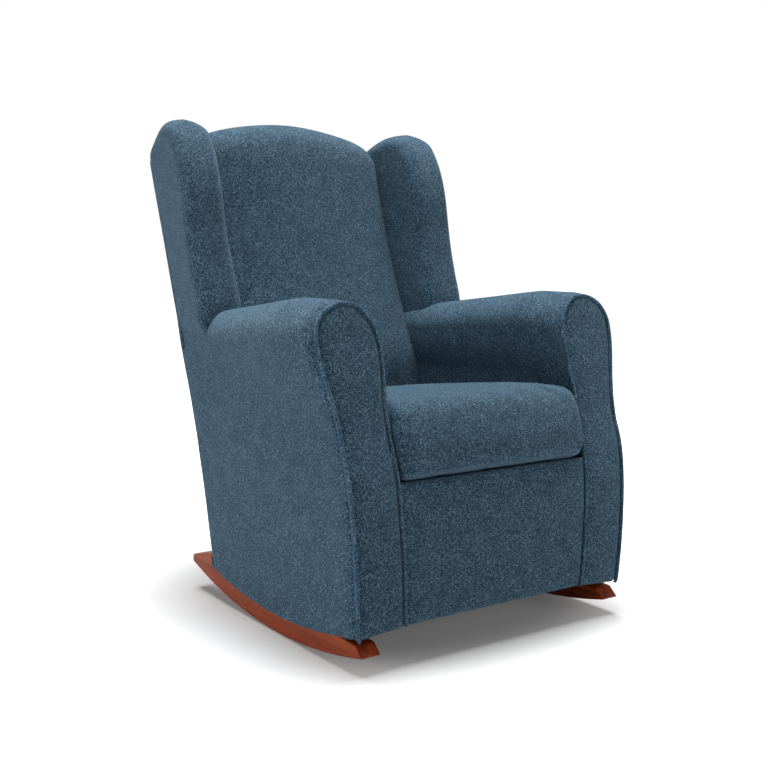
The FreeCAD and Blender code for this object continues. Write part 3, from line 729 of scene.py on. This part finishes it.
# The piping is the chair's own cloth, coloured 1.25 times lighter as a painted highlight along the cord.
piping_cloth_painted_highlight = upholstery("piping_cloth_painted_highlight", turn=math.radians(45), light=1.25)
piping_nodes = piping_tree(piping_cloth_painted_highlight)


def arm_piping_path(side):
    """The seam round the right arm's front, or the left one's."""
    proud = piping_radius * 0.4
    return [(side * x, foot_y + front_setback(z) - proud, z) for x, z in arm_seam[::3]]


for side_name, side in sides:
    piece = along_line("arm_piping_" + side_name, arm_piping_path(side), piping_nodes, Radius=piping_radius)
    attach(piece, "root")
    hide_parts("arm_welt_" + side_name)


# Apron. A padded panel over the front board between the arm fronts, tucked in at its sides and hem
# and stapled under the seat's front edge.
apron_hem_z = 0.0745
apron_top_z = 0.3375
apron_side_gap = 0.0005
apron_fill = dict(crown=0.003, reach=0.02, tuck=0.0045, tuck_reach=0.004)
apron_seam = smooth_path([(x, z) for x, z in arm_front_inner if z < 0.42], 80)


def make_grid(rows, columns, place):
    """A grid of points, each placed by its row's value and its column's."""
    return np.array([[place(row, column) for column in columns] for row in rows])


def apron_point(z, share):
    half = np.interp(z, apron_seam[:, 1], apron_seam[:, 0]) - apron_side_gap
    edge = min((1 - abs(share)) * half, (z - apron_hem_z) * 1.2, (apron_top_z - z) * 2)
    return half * share, front_setback(z) - filled(edge, **apron_fill), z


apron_rows = apron_hem_z + (apron_top_z - apron_hem_z) * eased(34)
apron_grid = make_grid(apron_rows, spread(46), apron_point)
apron = cover_grid("apron_cover", apron_grid, (0, -1, 0), thickness=0.008)
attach(apron, "root")
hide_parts("apron_panel")


# Wings. A plywood board wrapped in foam and one piece of cloth, pulled round a wide front roll and a
# domed top. Each wing grows out of the arm's roll and opens a little to the front.
wing_front_line = (
    (0.530, 0.560), (0.546, 0.640), (0.566, 0.700), (0.581, 0.755), (0.591, 0.805), (0.602, 0.870),
    (0.616, 0.920), (0.637, 0.965), (0.664, 1.003), (0.690, 1.027),
)
wing_top_line = (
    (0.690, 1.0270), (0.712, 1.0345), (0.745, 1.0330), (0.783, 1.0225), (0.815, 1.0080), (0.843, 0.9930),
    (0.8660, 0.9745),
)
wing_foot_z = 0.535
wing_fold_rise = 0.034
wing_fold_height = 0.034
wing_foot_tuck = 0.004
wing_rear_tuck = 0.0008
wing_roll_share = 0.14
wing_face_share = 0.5
wing_front_x = 0.355
wing_inner_front_x = 0.256
wing_foot_spread = 0.010
wing_spread_z = 0.80
wing_spread_height = 0.15
wing_rear_x = 0.325
wing_inner_rear_x = 0.227
wing_dome = 0.030
wing_rows = 46


def arm_shoulder(setback):
    """Where the arm is widest: its outer face and the height of it."""
    radius, centre_x = arm_roll(setback)
    return centre_x + radius, ridge_z(setback) - radius


def wing_grid():
    """Rings round the wing from its foot to its ridge: inner face, front roll, outer face, rear corners."""
    top = smooth_path(wing_top_line, 60)
    front = smooth_path(wing_front_line, 60)
    flat = np.linspace(0, 1, 12)
    corner = np.linspace(0, math.pi / 2, 8)
    rear = np.linspace(0, math.pi / 2, 5)
    ring = [("rear", -1, turn) for turn in rear[::-1]]
    ring += [("flat", -1, share) for share in flat[::-1][1:-1]]
    ring += [("corner", -1, turn) for turn in corner]
    ring += [("face", cross, 0) for cross in np.linspace(-1, 1, 9)[1:-1]]
    ring += [("corner", 1, turn) for turn in corner[::-1]]
    ring += [("flat", 1, share) for share in flat[1:-1]]
    ring += [("rear", 1, turn) for turn in rear]
    rows = []
    for rise in 1 - (1 - np.linspace(0, 1, wing_rows)) ** 1.35:
        row = []
        for kind, cross, place in ring:
            turned_in = 0.0
            if kind == "flat":
                share = wing_roll_share + place * (1 - wing_roll_share)
            elif kind == "face":
                share, cross = 0.0, cross * wing_face_share
            elif kind == "corner":
                share = wing_roll_share * (1 - math.sin(place))
                cross *= wing_face_share + (1 - wing_face_share) * math.cos(place)
            else:
                share = 1.0
                turned_in = rear_corner_width * (1 - math.cos(place))
            y_top = top[0, 0] + share * (top[-1, 0] - top[0, 0])
            z_top = np.interp(y_top, top[:, 0], top[:, 1])
            z = wing_foot_z + rise * (z_top - wing_foot_z)
            y_front = np.interp(z, front[:, 1], front[:, 0])
            y_rear = rear_setback(z)
            y = y_front + share * (y_rear - y_front)
            if kind == "rear":
                y -= rear_corner_depth * (1 - math.sin(place))
            outer = wing_front_x + share * (wing_rear_x - wing_front_x)
            inner = wing_inner_front_x + share * (wing_inner_rear_x - wing_inner_front_x)
            spread_in = np.clip((wing_spread_z - z) / wing_spread_height, 0, 1)
            inner -= wing_foot_spread * (1 - share) * spread_in
            shoulder_x, shoulder_z = arm_shoulder(y)
            foot = np.clip((shoulder_z + wing_fold_rise - z) / wing_fold_height, 0, 1)
            foot = foot * foot * (3 - 2 * foot)
            outer += (shoulder_x - wing_rear_tuck - wing_foot_tuck * (1 - share) - outer) * foot
            below = (z_top - z) / wing_dome
            width = 1.0 if below >= 1 else math.sqrt(max(0, 1 - (1 - below) ** 2.2))
            half = (outer - inner) / 2
            x = (outer + inner) / 2 + cross * width * (half - turned_in)
            row.append((x, y, z))
        rows.append(row)
    return np.array(rows)


right_wing = soft_rise(wing_grid(), 0.0007, 0.17)
for side_name, side in sides:
    grid = right_wing * np.array([side, 1, 1])
    piece = cover_grid("wing_cover_" + side_name, grid, (0, 0, 1), thickness=0.006, around=True)
    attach(piece, "root")
    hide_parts("wing_pad_" + side_name)


# Back. Foam over webbing, under one tight piece of cloth that is fuller in its middle, drawn in along
# both wings and rolled over the arched top rail to the rear.
back_half = 0.2435
back_height = 1.049
back_arch = 0.041
back_crown = 0.026
back_top_drop = 0.060
back_thickness = 0.100
back_line = (
    (0.02, 0.96, 0.3), (0.14, 1.10, 0.5), (0.25, 1.16, 0.85), (0.38, 1.04, 1.05), (0.52, 0.95, 1.1),
    (0.66, 0.95, 1.1), (0.80, 1.02, 1.0), (0.90, 1.09, 0.85),
)
back_roll = (
    (0.030, 1.09, 0.6), (0.009, 0.93, 0.35), (0.0, 0.70, 0.1), (0.003, 0.47, 0), (0.016, 0.24, 0),
    (0.036, 0.06, 0), (back_top_drop, 0.02, 0),
)
back_draw = 0.020
back_draw_reach = 0.014


def back_grid():
    """Columns over the front and the rolled top. Each entry of a line gives where, how thick, how full."""
    rows, columns = 74, 47
    grid = np.zeros((rows, columns, 3))
    for j, share in enumerate(spread(columns)):
        x = share * back_half
        top = back_height - back_arch * (x / seat_half) ** 2
        crown = back_crown * (1 - abs(share) ** 2.2)
        edge = (1 - abs(share)) * back_half
        draw = back_draw * math.exp(-edge / back_draw_reach)
        line = []
        for rise, thick, full in back_line:
            z = deck_front_z + rise * (top - deck_front_z)
            line.append((rear_setback(z) - thick * back_thickness - full * crown + draw, z))
        for drop, thick, full in back_roll:
            z = top - drop - draw * 0.8
            y = rear_setback(z) - thick * back_thickness - full * crown + draw * (thick > 0.6)
            line.append((y, z))
        grid[:, j, 0] = x
        grid[:, j, 1:] = smooth_path(line, rows)
    return grid


back_piece = cover_grid("back_cover", soft_rise(back_grid(), 0.0012, 0.21), (0, -1, 0.3), thickness=0.008)
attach(back_piece, "root")
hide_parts("back_cushion")


# Outer back. One flat piece of cloth over thin wadding, its edges turned under and slip-stitched to
# the sides, the wings and the rolled top.
outer_back_inset = 0.0085
outer_back_stand = 0.0018
outer_back_hem_z = 0.0755
outer_back_overlap = 0.004
outer_back_fill = dict(crown=0.0035, reach=0.04, tuck=0.0016, tuck_reach=0.0015)
outer_wing_z = 0.949
outer_wing_start_x = 0.21
outer_wing_inner_x = 0.25
outer_wing_outer_x = 0.290


def outer_back_top(x):
    """Upper edge of the outer back: an arch between the wings, then down round each wing's rear."""
    middle = back_height - back_arch * (x / seat_half) ** 2 - back_top_drop + outer_back_overlap
    fall = 0.9 * max(0, abs(x) - outer_wing_outer_x) ** 1.35 + 0.5 * max(0, outer_wing_inner_x - abs(x))
    return max(middle, outer_wing_z - fall) if abs(x) > outer_wing_start_x else middle


def outer_back_point(rise, share):
    x = share * (side_rear_x - outer_back_inset)
    top = outer_back_top(x)
    z = outer_back_hem_z + rise * (top - outer_back_hem_z)
    edge = min((1 - abs(share)) * side_rear_x, z - outer_back_hem_z, top - z)
    return x, rear_setback(z) + outer_back_stand + filled(edge, **outer_back_fill), z


outer_back_grid = make_grid(eased(70), spread(54), outer_back_point)
outer_back = cover_grid("outer_back_cover", outer_back_grid, (0, 1, 0), thickness=0.0055)
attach(outer_back, "root")
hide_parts("outer_back_panel")


# Seat deck and webbing. Black cloth over felt on the springs, with a strip of the chair's own cloth
# along the front, where the cushion may let it show.
def dark_cloth(name, thread, colour, rib):
    material, tree, shader = new_material(name, 0.9, 0.2)
    place = node(tree, "ShaderNodeTexCoord").outputs["Object"]
    split = node(tree, "ShaderNodeSeparateXYZ", Vector=place)
    waves = []
    for axis in (0, 1):
        turns = maths(tree, "MULTIPLY", split.outputs[axis], 2 * math.pi / thread)
        waves.append(maths(tree, "SINE", turns))
    if rib:
        dots = maths(tree, "MULTIPLY_ADD", waves[1], 0.3, waves[0])
    else:
        dots = maths(tree, "MULTIPLY", waves[0], waves[1])
    tone = maths(tree, "MULTIPLY_ADD", dots, 0.12, noise(tree, place, 900.0, 3.0))
    lighter = tuple(part * 2.1 for part in colour)
    tree.links.new(ramp(tree, tone, (0.35, colour), (0.75, lighter)), shader.inputs["Base Color"])
    bump = node(tree, "ShaderNodeBump", Height=tone, Strength=0.6, Distance=0.0005)
    tree.links.new(bump.outputs[0], shader.inputs["Normal"])
    return material


deck_cloth = dark_cloth("deck_cloth", 0.0022, (0.012, 0.013, 0.015), False)
dust_cloth = dark_cloth("dust_cloth", 0.0031, (0.010, 0.010, 0.011), False)
webbing_cloth = dark_cloth("webbing_cloth", 0.0045, (0.020, 0.020, 0.018), True)
deck_lip = 0.085
strip_start = 0.017
deck_overlap = 0.004
deck_step = 0.0012
deck_sag = 0.004
deck_length = 0.58
deck_side_reach = 0.0195
deck_narrow_setback = 0.56
deck_narrow_half = 0.24
deck_nose = 0.004
deck_nose_setback = 0.019
deck_nose_reach = 0.005
deck_depth = 0.0004


def deck_point(y, share):
    half = seat_half + deck_side_reach if y < deck_narrow_setback else deck_narrow_half
    along = np.clip(y / deck_length, 0, 1)
    hollow = deck_sag * math.cos(share * math.pi / 2) * math.sin(math.pi * along)
    nose = deck_nose * math.exp(-max(y - deck_nose_setback, 0) / deck_nose_reach)
    return share * half, y, deck_front_z - y * seat_slope - hollow - nose - deck_depth


def deck_grid(start, end):
    rows = max(6, int((end - start) / 0.012))
    return make_grid(np.linspace(start, end, rows), np.linspace(-1, 1, 40), deck_point)


deck_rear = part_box("seat_deck")[1].y - foot_y
strip_grid = deck_grid(strip_start, deck_lip)
front_strip = cover_grid("deck_front_strip", strip_grid, (0, 0, 1), thickness=0.003, levels=0)
felt_grid = deck_grid(deck_lip - deck_overlap, deck_rear - deck_overlap) - np.array([0, 0, deck_step])
deck_piece = cover_grid("deck_cover", felt_grid, (0, 0, 1), 0.004, deck_cloth, 0)
for piece, slot_name in ((front_strip, "woven_fabric"), (deck_piece, "dark_cloth")):
    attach(piece, "root")
    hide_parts("seat_deck")

web_width = 0.060
web_count = 4
web_rows = 40
web_steps = (-0.5, -0.25, 0, 0.25, 0.5)
web_thickness = 0.0014


def make_webbing():
    low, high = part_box("back_webbing")
    points, faces = [], []
    for number in range(web_count):
        x = (number - (web_count - 1) / 2) * ((high.x - low.x) - web_width) / (web_count - 1)
        base = len(points)
        faces += [tuple(base + value for value in face) for face in grid_faces(web_rows, len(web_steps))]
        for z in np.linspace(low.z, high.z, web_rows):
            share = (z - low.z) / (high.z - low.z)
            y = low.y + share * (high.y - low.y) - foot_y
            for step in web_steps:
                points.append((x + step * web_width, y, z))
    piece = make_piece("back_straps", points, faces, webbing_cloth, hint=(0, -1, 0))
    wall = piece.modifiers.new("wall", "SOLIDIFY")
    wall.thickness = web_thickness
    wall.offset = -1
    return plain_mesh(piece)


webbing = make_webbing()
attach(webbing, "root")
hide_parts("back_webbing")


# Dust cover. Thin black non-woven cloth stapled up under the seat frame, with a row of wire staples
# along its edges.
dust_slack = 0.0025
dust_ripple = 0.0006
dust_ripple_reach = 0.03
low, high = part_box("dust_cover")


def dust_point(y, x):
    edge = min(y - low.y, high.y - y, x - low.x, high.x - x)
    across = math.sin(math.pi * (x - low.x) / (high.x - low.x))
    along = math.sin(math.pi * (y - low.y) / (high.y - low.y))
    ripple = dust_ripple * math.sin(x * 210) * math.exp(-edge / dust_ripple_reach)
    return x, y - foot_y, low.z - dust_slack * across * along + ripple * (edge > 0.001)


dust_grid = make_grid(np.linspace(low.y, high.y, 60), np.linspace(low.x, high.x, 48), dust_point)
dust = cover_grid("dust_sheet", dust_grid, (0, 0, -1), 0.0008, dust_cloth, 0)
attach(dust, "root")
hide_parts("dust_cover")

staple_inset = 0.009
staple_spacing = 0.046
staple_crown = 0.010
staple_leg = 0.004
staple_wire = 0.0006
staple_bend = 0.0009


def staple_tree(material):
    """Wire staples set along a line, each with its crown lying along it and its legs upwards."""
    tree, start = maker_tree("staples", "Spacing", "Wire")
    places = node(tree, "GeometryNodeResampleCurve", mode="LENGTH", Curve=start.outputs["Geometry"])
    tree.links.new(start.outputs["Spacing"], places.inputs["Length"])
    half = staple_crown / 2
    bent = node(
        tree, "GeometryNodeCurvePrimitiveQuadrilateral", mode="POINTS", Point_1=(-half, 0, staple_leg),
        Point_2=(-half, 0, 0), Point_3=(half, 0, 0), Point_4=(half, 0, staple_leg),
    )
    rounded = node(
        tree, "GeometryNodeFilletCurve", mode="POLY", Curve=bent.outputs["Curve"], Count=3,
        Radius=staple_bend,
    )
    ring = node(tree, "GeometryNodeCurvePrimitiveCircle", Resolution=6)
    tree.links.new(start.outputs["Wire"], ring.inputs["Radius"])
    wire = node(
        tree, "GeometryNodeCurveToMesh", Curve=rounded.outputs["Curve"],
        Profile_Curve=ring.outputs["Curve"],
    )
    tangent = tree.nodes.new("GeometryNodeInputTangent")
    turned = node(tree, "FunctionNodeAlignRotationToVector", axis="X", Vector=tangent.outputs[0])
    staples = node(
        tree, "GeometryNodeInstanceOnPoints", Points=places.outputs[0], Instance=wire.outputs[0],
        Rotation=turned.outputs[0],
    )
    return end_tree(tree, staples.outputs[0], material)


left, right = low.x + staple_inset, high.x - staple_inset
front, rear = low.y + staple_inset, high.y - staple_inset
staple_z = low.z - staple_wire
staple_line = [(x, y, staple_z) for x, y in ((left, front), (right, front), (right, rear), (left, rear))]
staples = along_line(
    "dust_sheet_staples", staple_line, staple_tree(steel), closed=True, Spacing=staple_spacing,
    Wire=staple_wire,
)
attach(staples, "root")


# Seat cushion. A loose block of foam wrapped in fibre inside a sewn cover. It is full and crowned, its
# front is thick and rounded, its sides draw in at the corners, and it lies flat on the deck.
cushion_pressure = 4.0
cushion_swell = (0.006, 0.005, 0.0015)
cushion_voxel = 0.0065
cushion_frames = 20
cushion_free_setback = -0.004
cushion_free_bulge = 0.017


def inflate(piece, pressure, frames, swell, voxel):
    """Swell a closed mesh as cloth under pressure. No point moves further than swell along X, Y and Z."""
    remesh = piece.modifiers.new("even", "REMESH")
    remesh.mode = "VOXEL"
    remesh.voxel_size = voxel
    plain_mesh(piece)
    before = np.array([v.co for v in piece.data.vertices])
    cloth_change = piece.modifiers.new("cloth", "CLOTH")
    settings = cloth_change.settings
    settings.quality = 5
    settings.mass = 0.3
    settings.tension_stiffness = 18
    settings.compression_stiffness = 12
    settings.shear_stiffness = 6
    settings.bending_stiffness = 0.8
    settings.use_pressure = True
    settings.uniform_pressure_force = pressure
    settings.effector_weights.gravity = 0
    cloth_change.collision_settings.use_collision = False
    scene = bpy.context.scene
    for number in range(1, frames + 1):
        scene.frame_set(number)
    plain_mesh(piece)
    scene.frame_set(1)
    after = np.array([v.co for v in piece.data.vertices])
    return before + np.clip(after - before, -np.array(swell), swell)


def box_cloth(mesh):
    """Places on the bolt for a box of cloth: over the top and front in one length, the ends apart."""
    layer = mesh.uv_layers.get("cloth") or mesh.uv_layers.new(name="cloth")
    for polygon in mesh.polygons:
        n = polygon.normal
        for index in polygon.loop_indices:
            x, y, z = mesh.vertices[mesh.loops[index].vertex_index].co
            if abs(n.x) > 0.75:
                layer.data[index].uv = (y, z)
            else:
                layer.data[index].uv = (x, y + z if n.z > -0.5 else y - z)


cushion_half = 0.2265
cushion_clearance = 0.0006
cushion_end_shares = (0, 0.35, 0.62, 0.82, 0.94, 1)
cushion_end = 0.013
cushion_bow = 0.008
cushion_crown = 0.006
cushion_height = 0.14
cushion_depth = 0.5
cushion_bow_depth = 0.1
cushion_bow_foot = 0.03
cushion_profile = (
    (0.010, 0.001), (0.002, 0.004), (-0.006, 0.012), (-0.010, 0.028), (-0.0115, 0.046), (-0.010, 0.064),
    (-0.005, 0.083), (0.000, 0.099), (0.006, 0.114), (0.012, 0.125), (0.020, 0.133), (0.034, 0.139),
    (0.054, 0.142), (0.104, 0.145), (0.183, 0.145), (0.296, 0.141), (0.418, 0.136), (0.490, 0.131),
    (0.515, 0.124), (0.524, 0.100), (0.527, 0.060), (0.524, 0.020), (0.512, 0.002), (0.300, 0.001),
    (0.100, 0.001),
)
tilt = math.radians(4)
down_slope = np.array([0, math.cos(tilt), -math.sin(tilt)])
off_slope = np.array([0, math.sin(tilt), math.cos(tilt)])
deck_edge = np.array([0, 0, deck_front_z])


def cushion_ring(x, draw):
    """The cushion cut at x, seen from the side. Towards its ends it is drawn in all round."""
    full = 1 - (x / cushion_half) ** 4
    ring = []
    for depth, height in cushion_profile:
        ahead = np.clip(1 - depth / cushion_bow_depth, 0, 1) * np.clip(height / cushion_bow_foot, 0, 1)
        up = np.clip(height / cushion_height, 0, 1)
        drawn_in = draw * (0.4 + 0.6 * up)
        depth += drawn_in * np.clip(1 - 2 * depth / cushion_depth, -0.6, 1) - cushion_bow * full * ahead
        height += cushion_crown * full * up ** 2 - draw * height / cushion_height
        height = max(height, cushion_clearance)
        ring.append(np.array([x, 0, 0]) + deck_edge + depth * down_slope + height * off_slope)
    return ring


cushion_rings = []
middle = cushion_half - cushion_end
for x in np.linspace(-middle, middle, 25)[1:-1]:
    cushion_rings.append(cushion_ring(x, 0))
for share in cushion_end_shares:
    draw = cushion_end * 0.8 * (1 - math.sqrt(1 - share ** 2))
    cushion_rings.append(cushion_ring(middle + share * cushion_end, draw))
    cushion_rings.insert(0, cushion_ring(-middle - share * cushion_end, draw))
ring_count = len(cushion_profile)
cushion_faces = grid_faces(len(cushion_rings), ring_count, around=True)
point_count = len(cushion_rings) * ring_count
cushion_faces.append(tuple(range(ring_count)))
cushion_faces.append(tuple(range(point_count - 1, point_count - ring_count - 1, -1)))
cushion = make_piece("seat_cushion", np.array(cushion_rings).reshape(-1, 3), cushion_faces, cloth)
turn_outwards(cushion)
points = inflate(cushion, cushion_pressure, cushion_frames, cushion_swell, cushion_voxel)
hinge = deck_edge + np.array([0, foot_y, 0])
level = points - hinge
depth = level @ down_slope
height = level @ off_slope
cover_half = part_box("seat_cushion_cover")[1].x
ahead = np.clip((cushion_free_setback - (points[:, 1] - foot_y)) / 0.02, 0, 1)
bulge = ahead * cushion_free_bulge
side_limit = cover_half + bulge
across = np.clip(points[:, 0] * (1 + bulge / cover_half), -side_limit, side_limit)
height = np.maximum(height, cushion_clearance)
points = hinge + np.outer(depth, down_slope) + np.outer(height, off_slope)
points[:, 0] = across
cushion.data.vertices.foreach_set("co", points.ravel())
cushion.data.update()
cushion.data.shade_smooth()
rounding = cushion.modifiers.new("rounding", "SUBSURF")
rounding.levels = rounding.render_levels = 1
plain_mesh(cushion)
box_cloth(cushion.data)
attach(cushion, "seat_cushion")
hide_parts("seat_cushion_cover", "seat_cushion_filling")


# Studio. A white floor that runs out of sight, soft lights on the left, overhead and on the right in
# front, and a pale surround that the camera sees as white.
def seen_directly(tree):
    """1 for a ray from the camera, from a reflection or through glass, and 0 for the light on cloth."""
    rays = tree.nodes.new("ShaderNodeLightPath")
    seen = maths(tree, "MAXIMUM", rays.outputs["Is Camera Ray"], rays.outputs["Is Glossy Ray"])
    return maths(tree, "MAXIMUM", seen, rays.outputs["Is Transmission Ray"])


def stage_material(name, near_glow, near_reach, far_reach, shade):
    """A matt floor. What the camera sees of it glows faintly near the chair and full white far off."""
    material = bpy.data.materials.new(name)
    material.use_nodes = True
    tree = material.node_tree
    tree.nodes.clear()
    place = node(tree, "ShaderNodeTexCoord").outputs["Object"]
    reach = node(tree, "ShaderNodeVectorMath", operation="LENGTH", i0=place).outputs["Value"]
    glow = node(
        tree, "ShaderNodeMapRange", interpolation_type="SMOOTHSTEP", Value=reach, From_Min=near_reach,
        From_Max=far_reach, To_Min=near_glow, To_Max=1.0,
    ).outputs[0]
    strength = maths(tree, "MULTIPLY", seen_directly(tree), glow)
    shine = node(tree, "ShaderNodeEmission", Color=(1, 1, 1, 1), Strength=strength)
    matt = node(tree, "ShaderNodeBsdfDiffuse", Color=(shade, shade, shade, 1))
    both = node(tree, "ShaderNodeAddShader", i0=shine.outputs[0], i1=matt.outputs[0])
    end = tree.nodes.new("ShaderNodeOutputMaterial")
    tree.links.new(both.outputs[0], end.inputs["Surface"])
    return material


floor_half = 30
floor_mesh = bpy.data.meshes.new("floor")
floor_corners = [(floor_half * x, floor_half * y, 0) for x, y in ((-1, -1), (1, -1), (1, 1), (-1, 1))]
floor_mesh.from_pydata(floor_corners, [], [(0, 1, 2, 3)])
white_floor = stage_material("white_floor", near_glow=0.08, near_reach=0.36, far_reach=0.98, shade=0.66)
floor_mesh.materials.append(white_floor)
floor = add_object("floor", floor_mesh)


def area_light(name, place, target, size, power):
    lamp = bpy.data.lights.new(name, "AREA")
    lamp.shape = "DISK"
    lamp.size = size
    lamp.energy = power
    light = add_object(name, lamp)
    light.location = place
    light.rotation_mode = "QUATERNION"
    light.rotation_quaternion = (Vector(target) - Vector(place)).to_track_quat("-Z", "Y")


area_light("left_light", (-3.9, 0.0, 0.88), (0, 0, 0.5), size=1.8, power=66)
area_light("top_light", (0.25, 0.5, 5.2), (0, 0, 0.4), size=3.2, power=515)
area_light("front_light", (1.3, -2.5, 0.6), (0, 0, 0.4), size=1.3, power=14.5)

world = bpy.data.worlds.new("surround")
bpy.context.scene.world = world
world.use_nodes = True
world_tree = world.node_tree
world_back = world_tree.nodes["Background"]
ambient = 0.13
white_share = maths(world_tree, "MULTIPLY", seen_directly(world_tree), 1 - ambient)
world_strength = maths(world_tree, "ADD", white_share, ambient)
world_tree.links.new(world_strength, world_back.inputs["Strength"])
world_back.inputs["Color"].default_value = (1, 1, 1, 1)


# Camera, where the photograph was taken from.
camera_azimuth = math.radians(-34.9)
camera_elevation = math.radians(6.79)
camera_data = bpy.data.cameras.new("camera")
camera_data.sensor_width = 36
camera_data.lens = 52.97
camera_data.clip_end = 100
camera = add_object("camera", camera_data)
camera.location = (-1.382, -2.0238, 0.752)
look = Vector((
    -math.sin(camera_azimuth) * math.cos(camera_elevation),
    math.cos(camera_azimuth) * math.cos(camera_elevation),
    -math.sin(camera_elevation),
))
camera.rotation_mode = "QUATERNION"
camera.rotation_quaternion = look.to_track_quat("-Z", "Y")
bpy.context.scene.camera = camera

bpy.context.scene.view_settings.view_transform = "Standard"
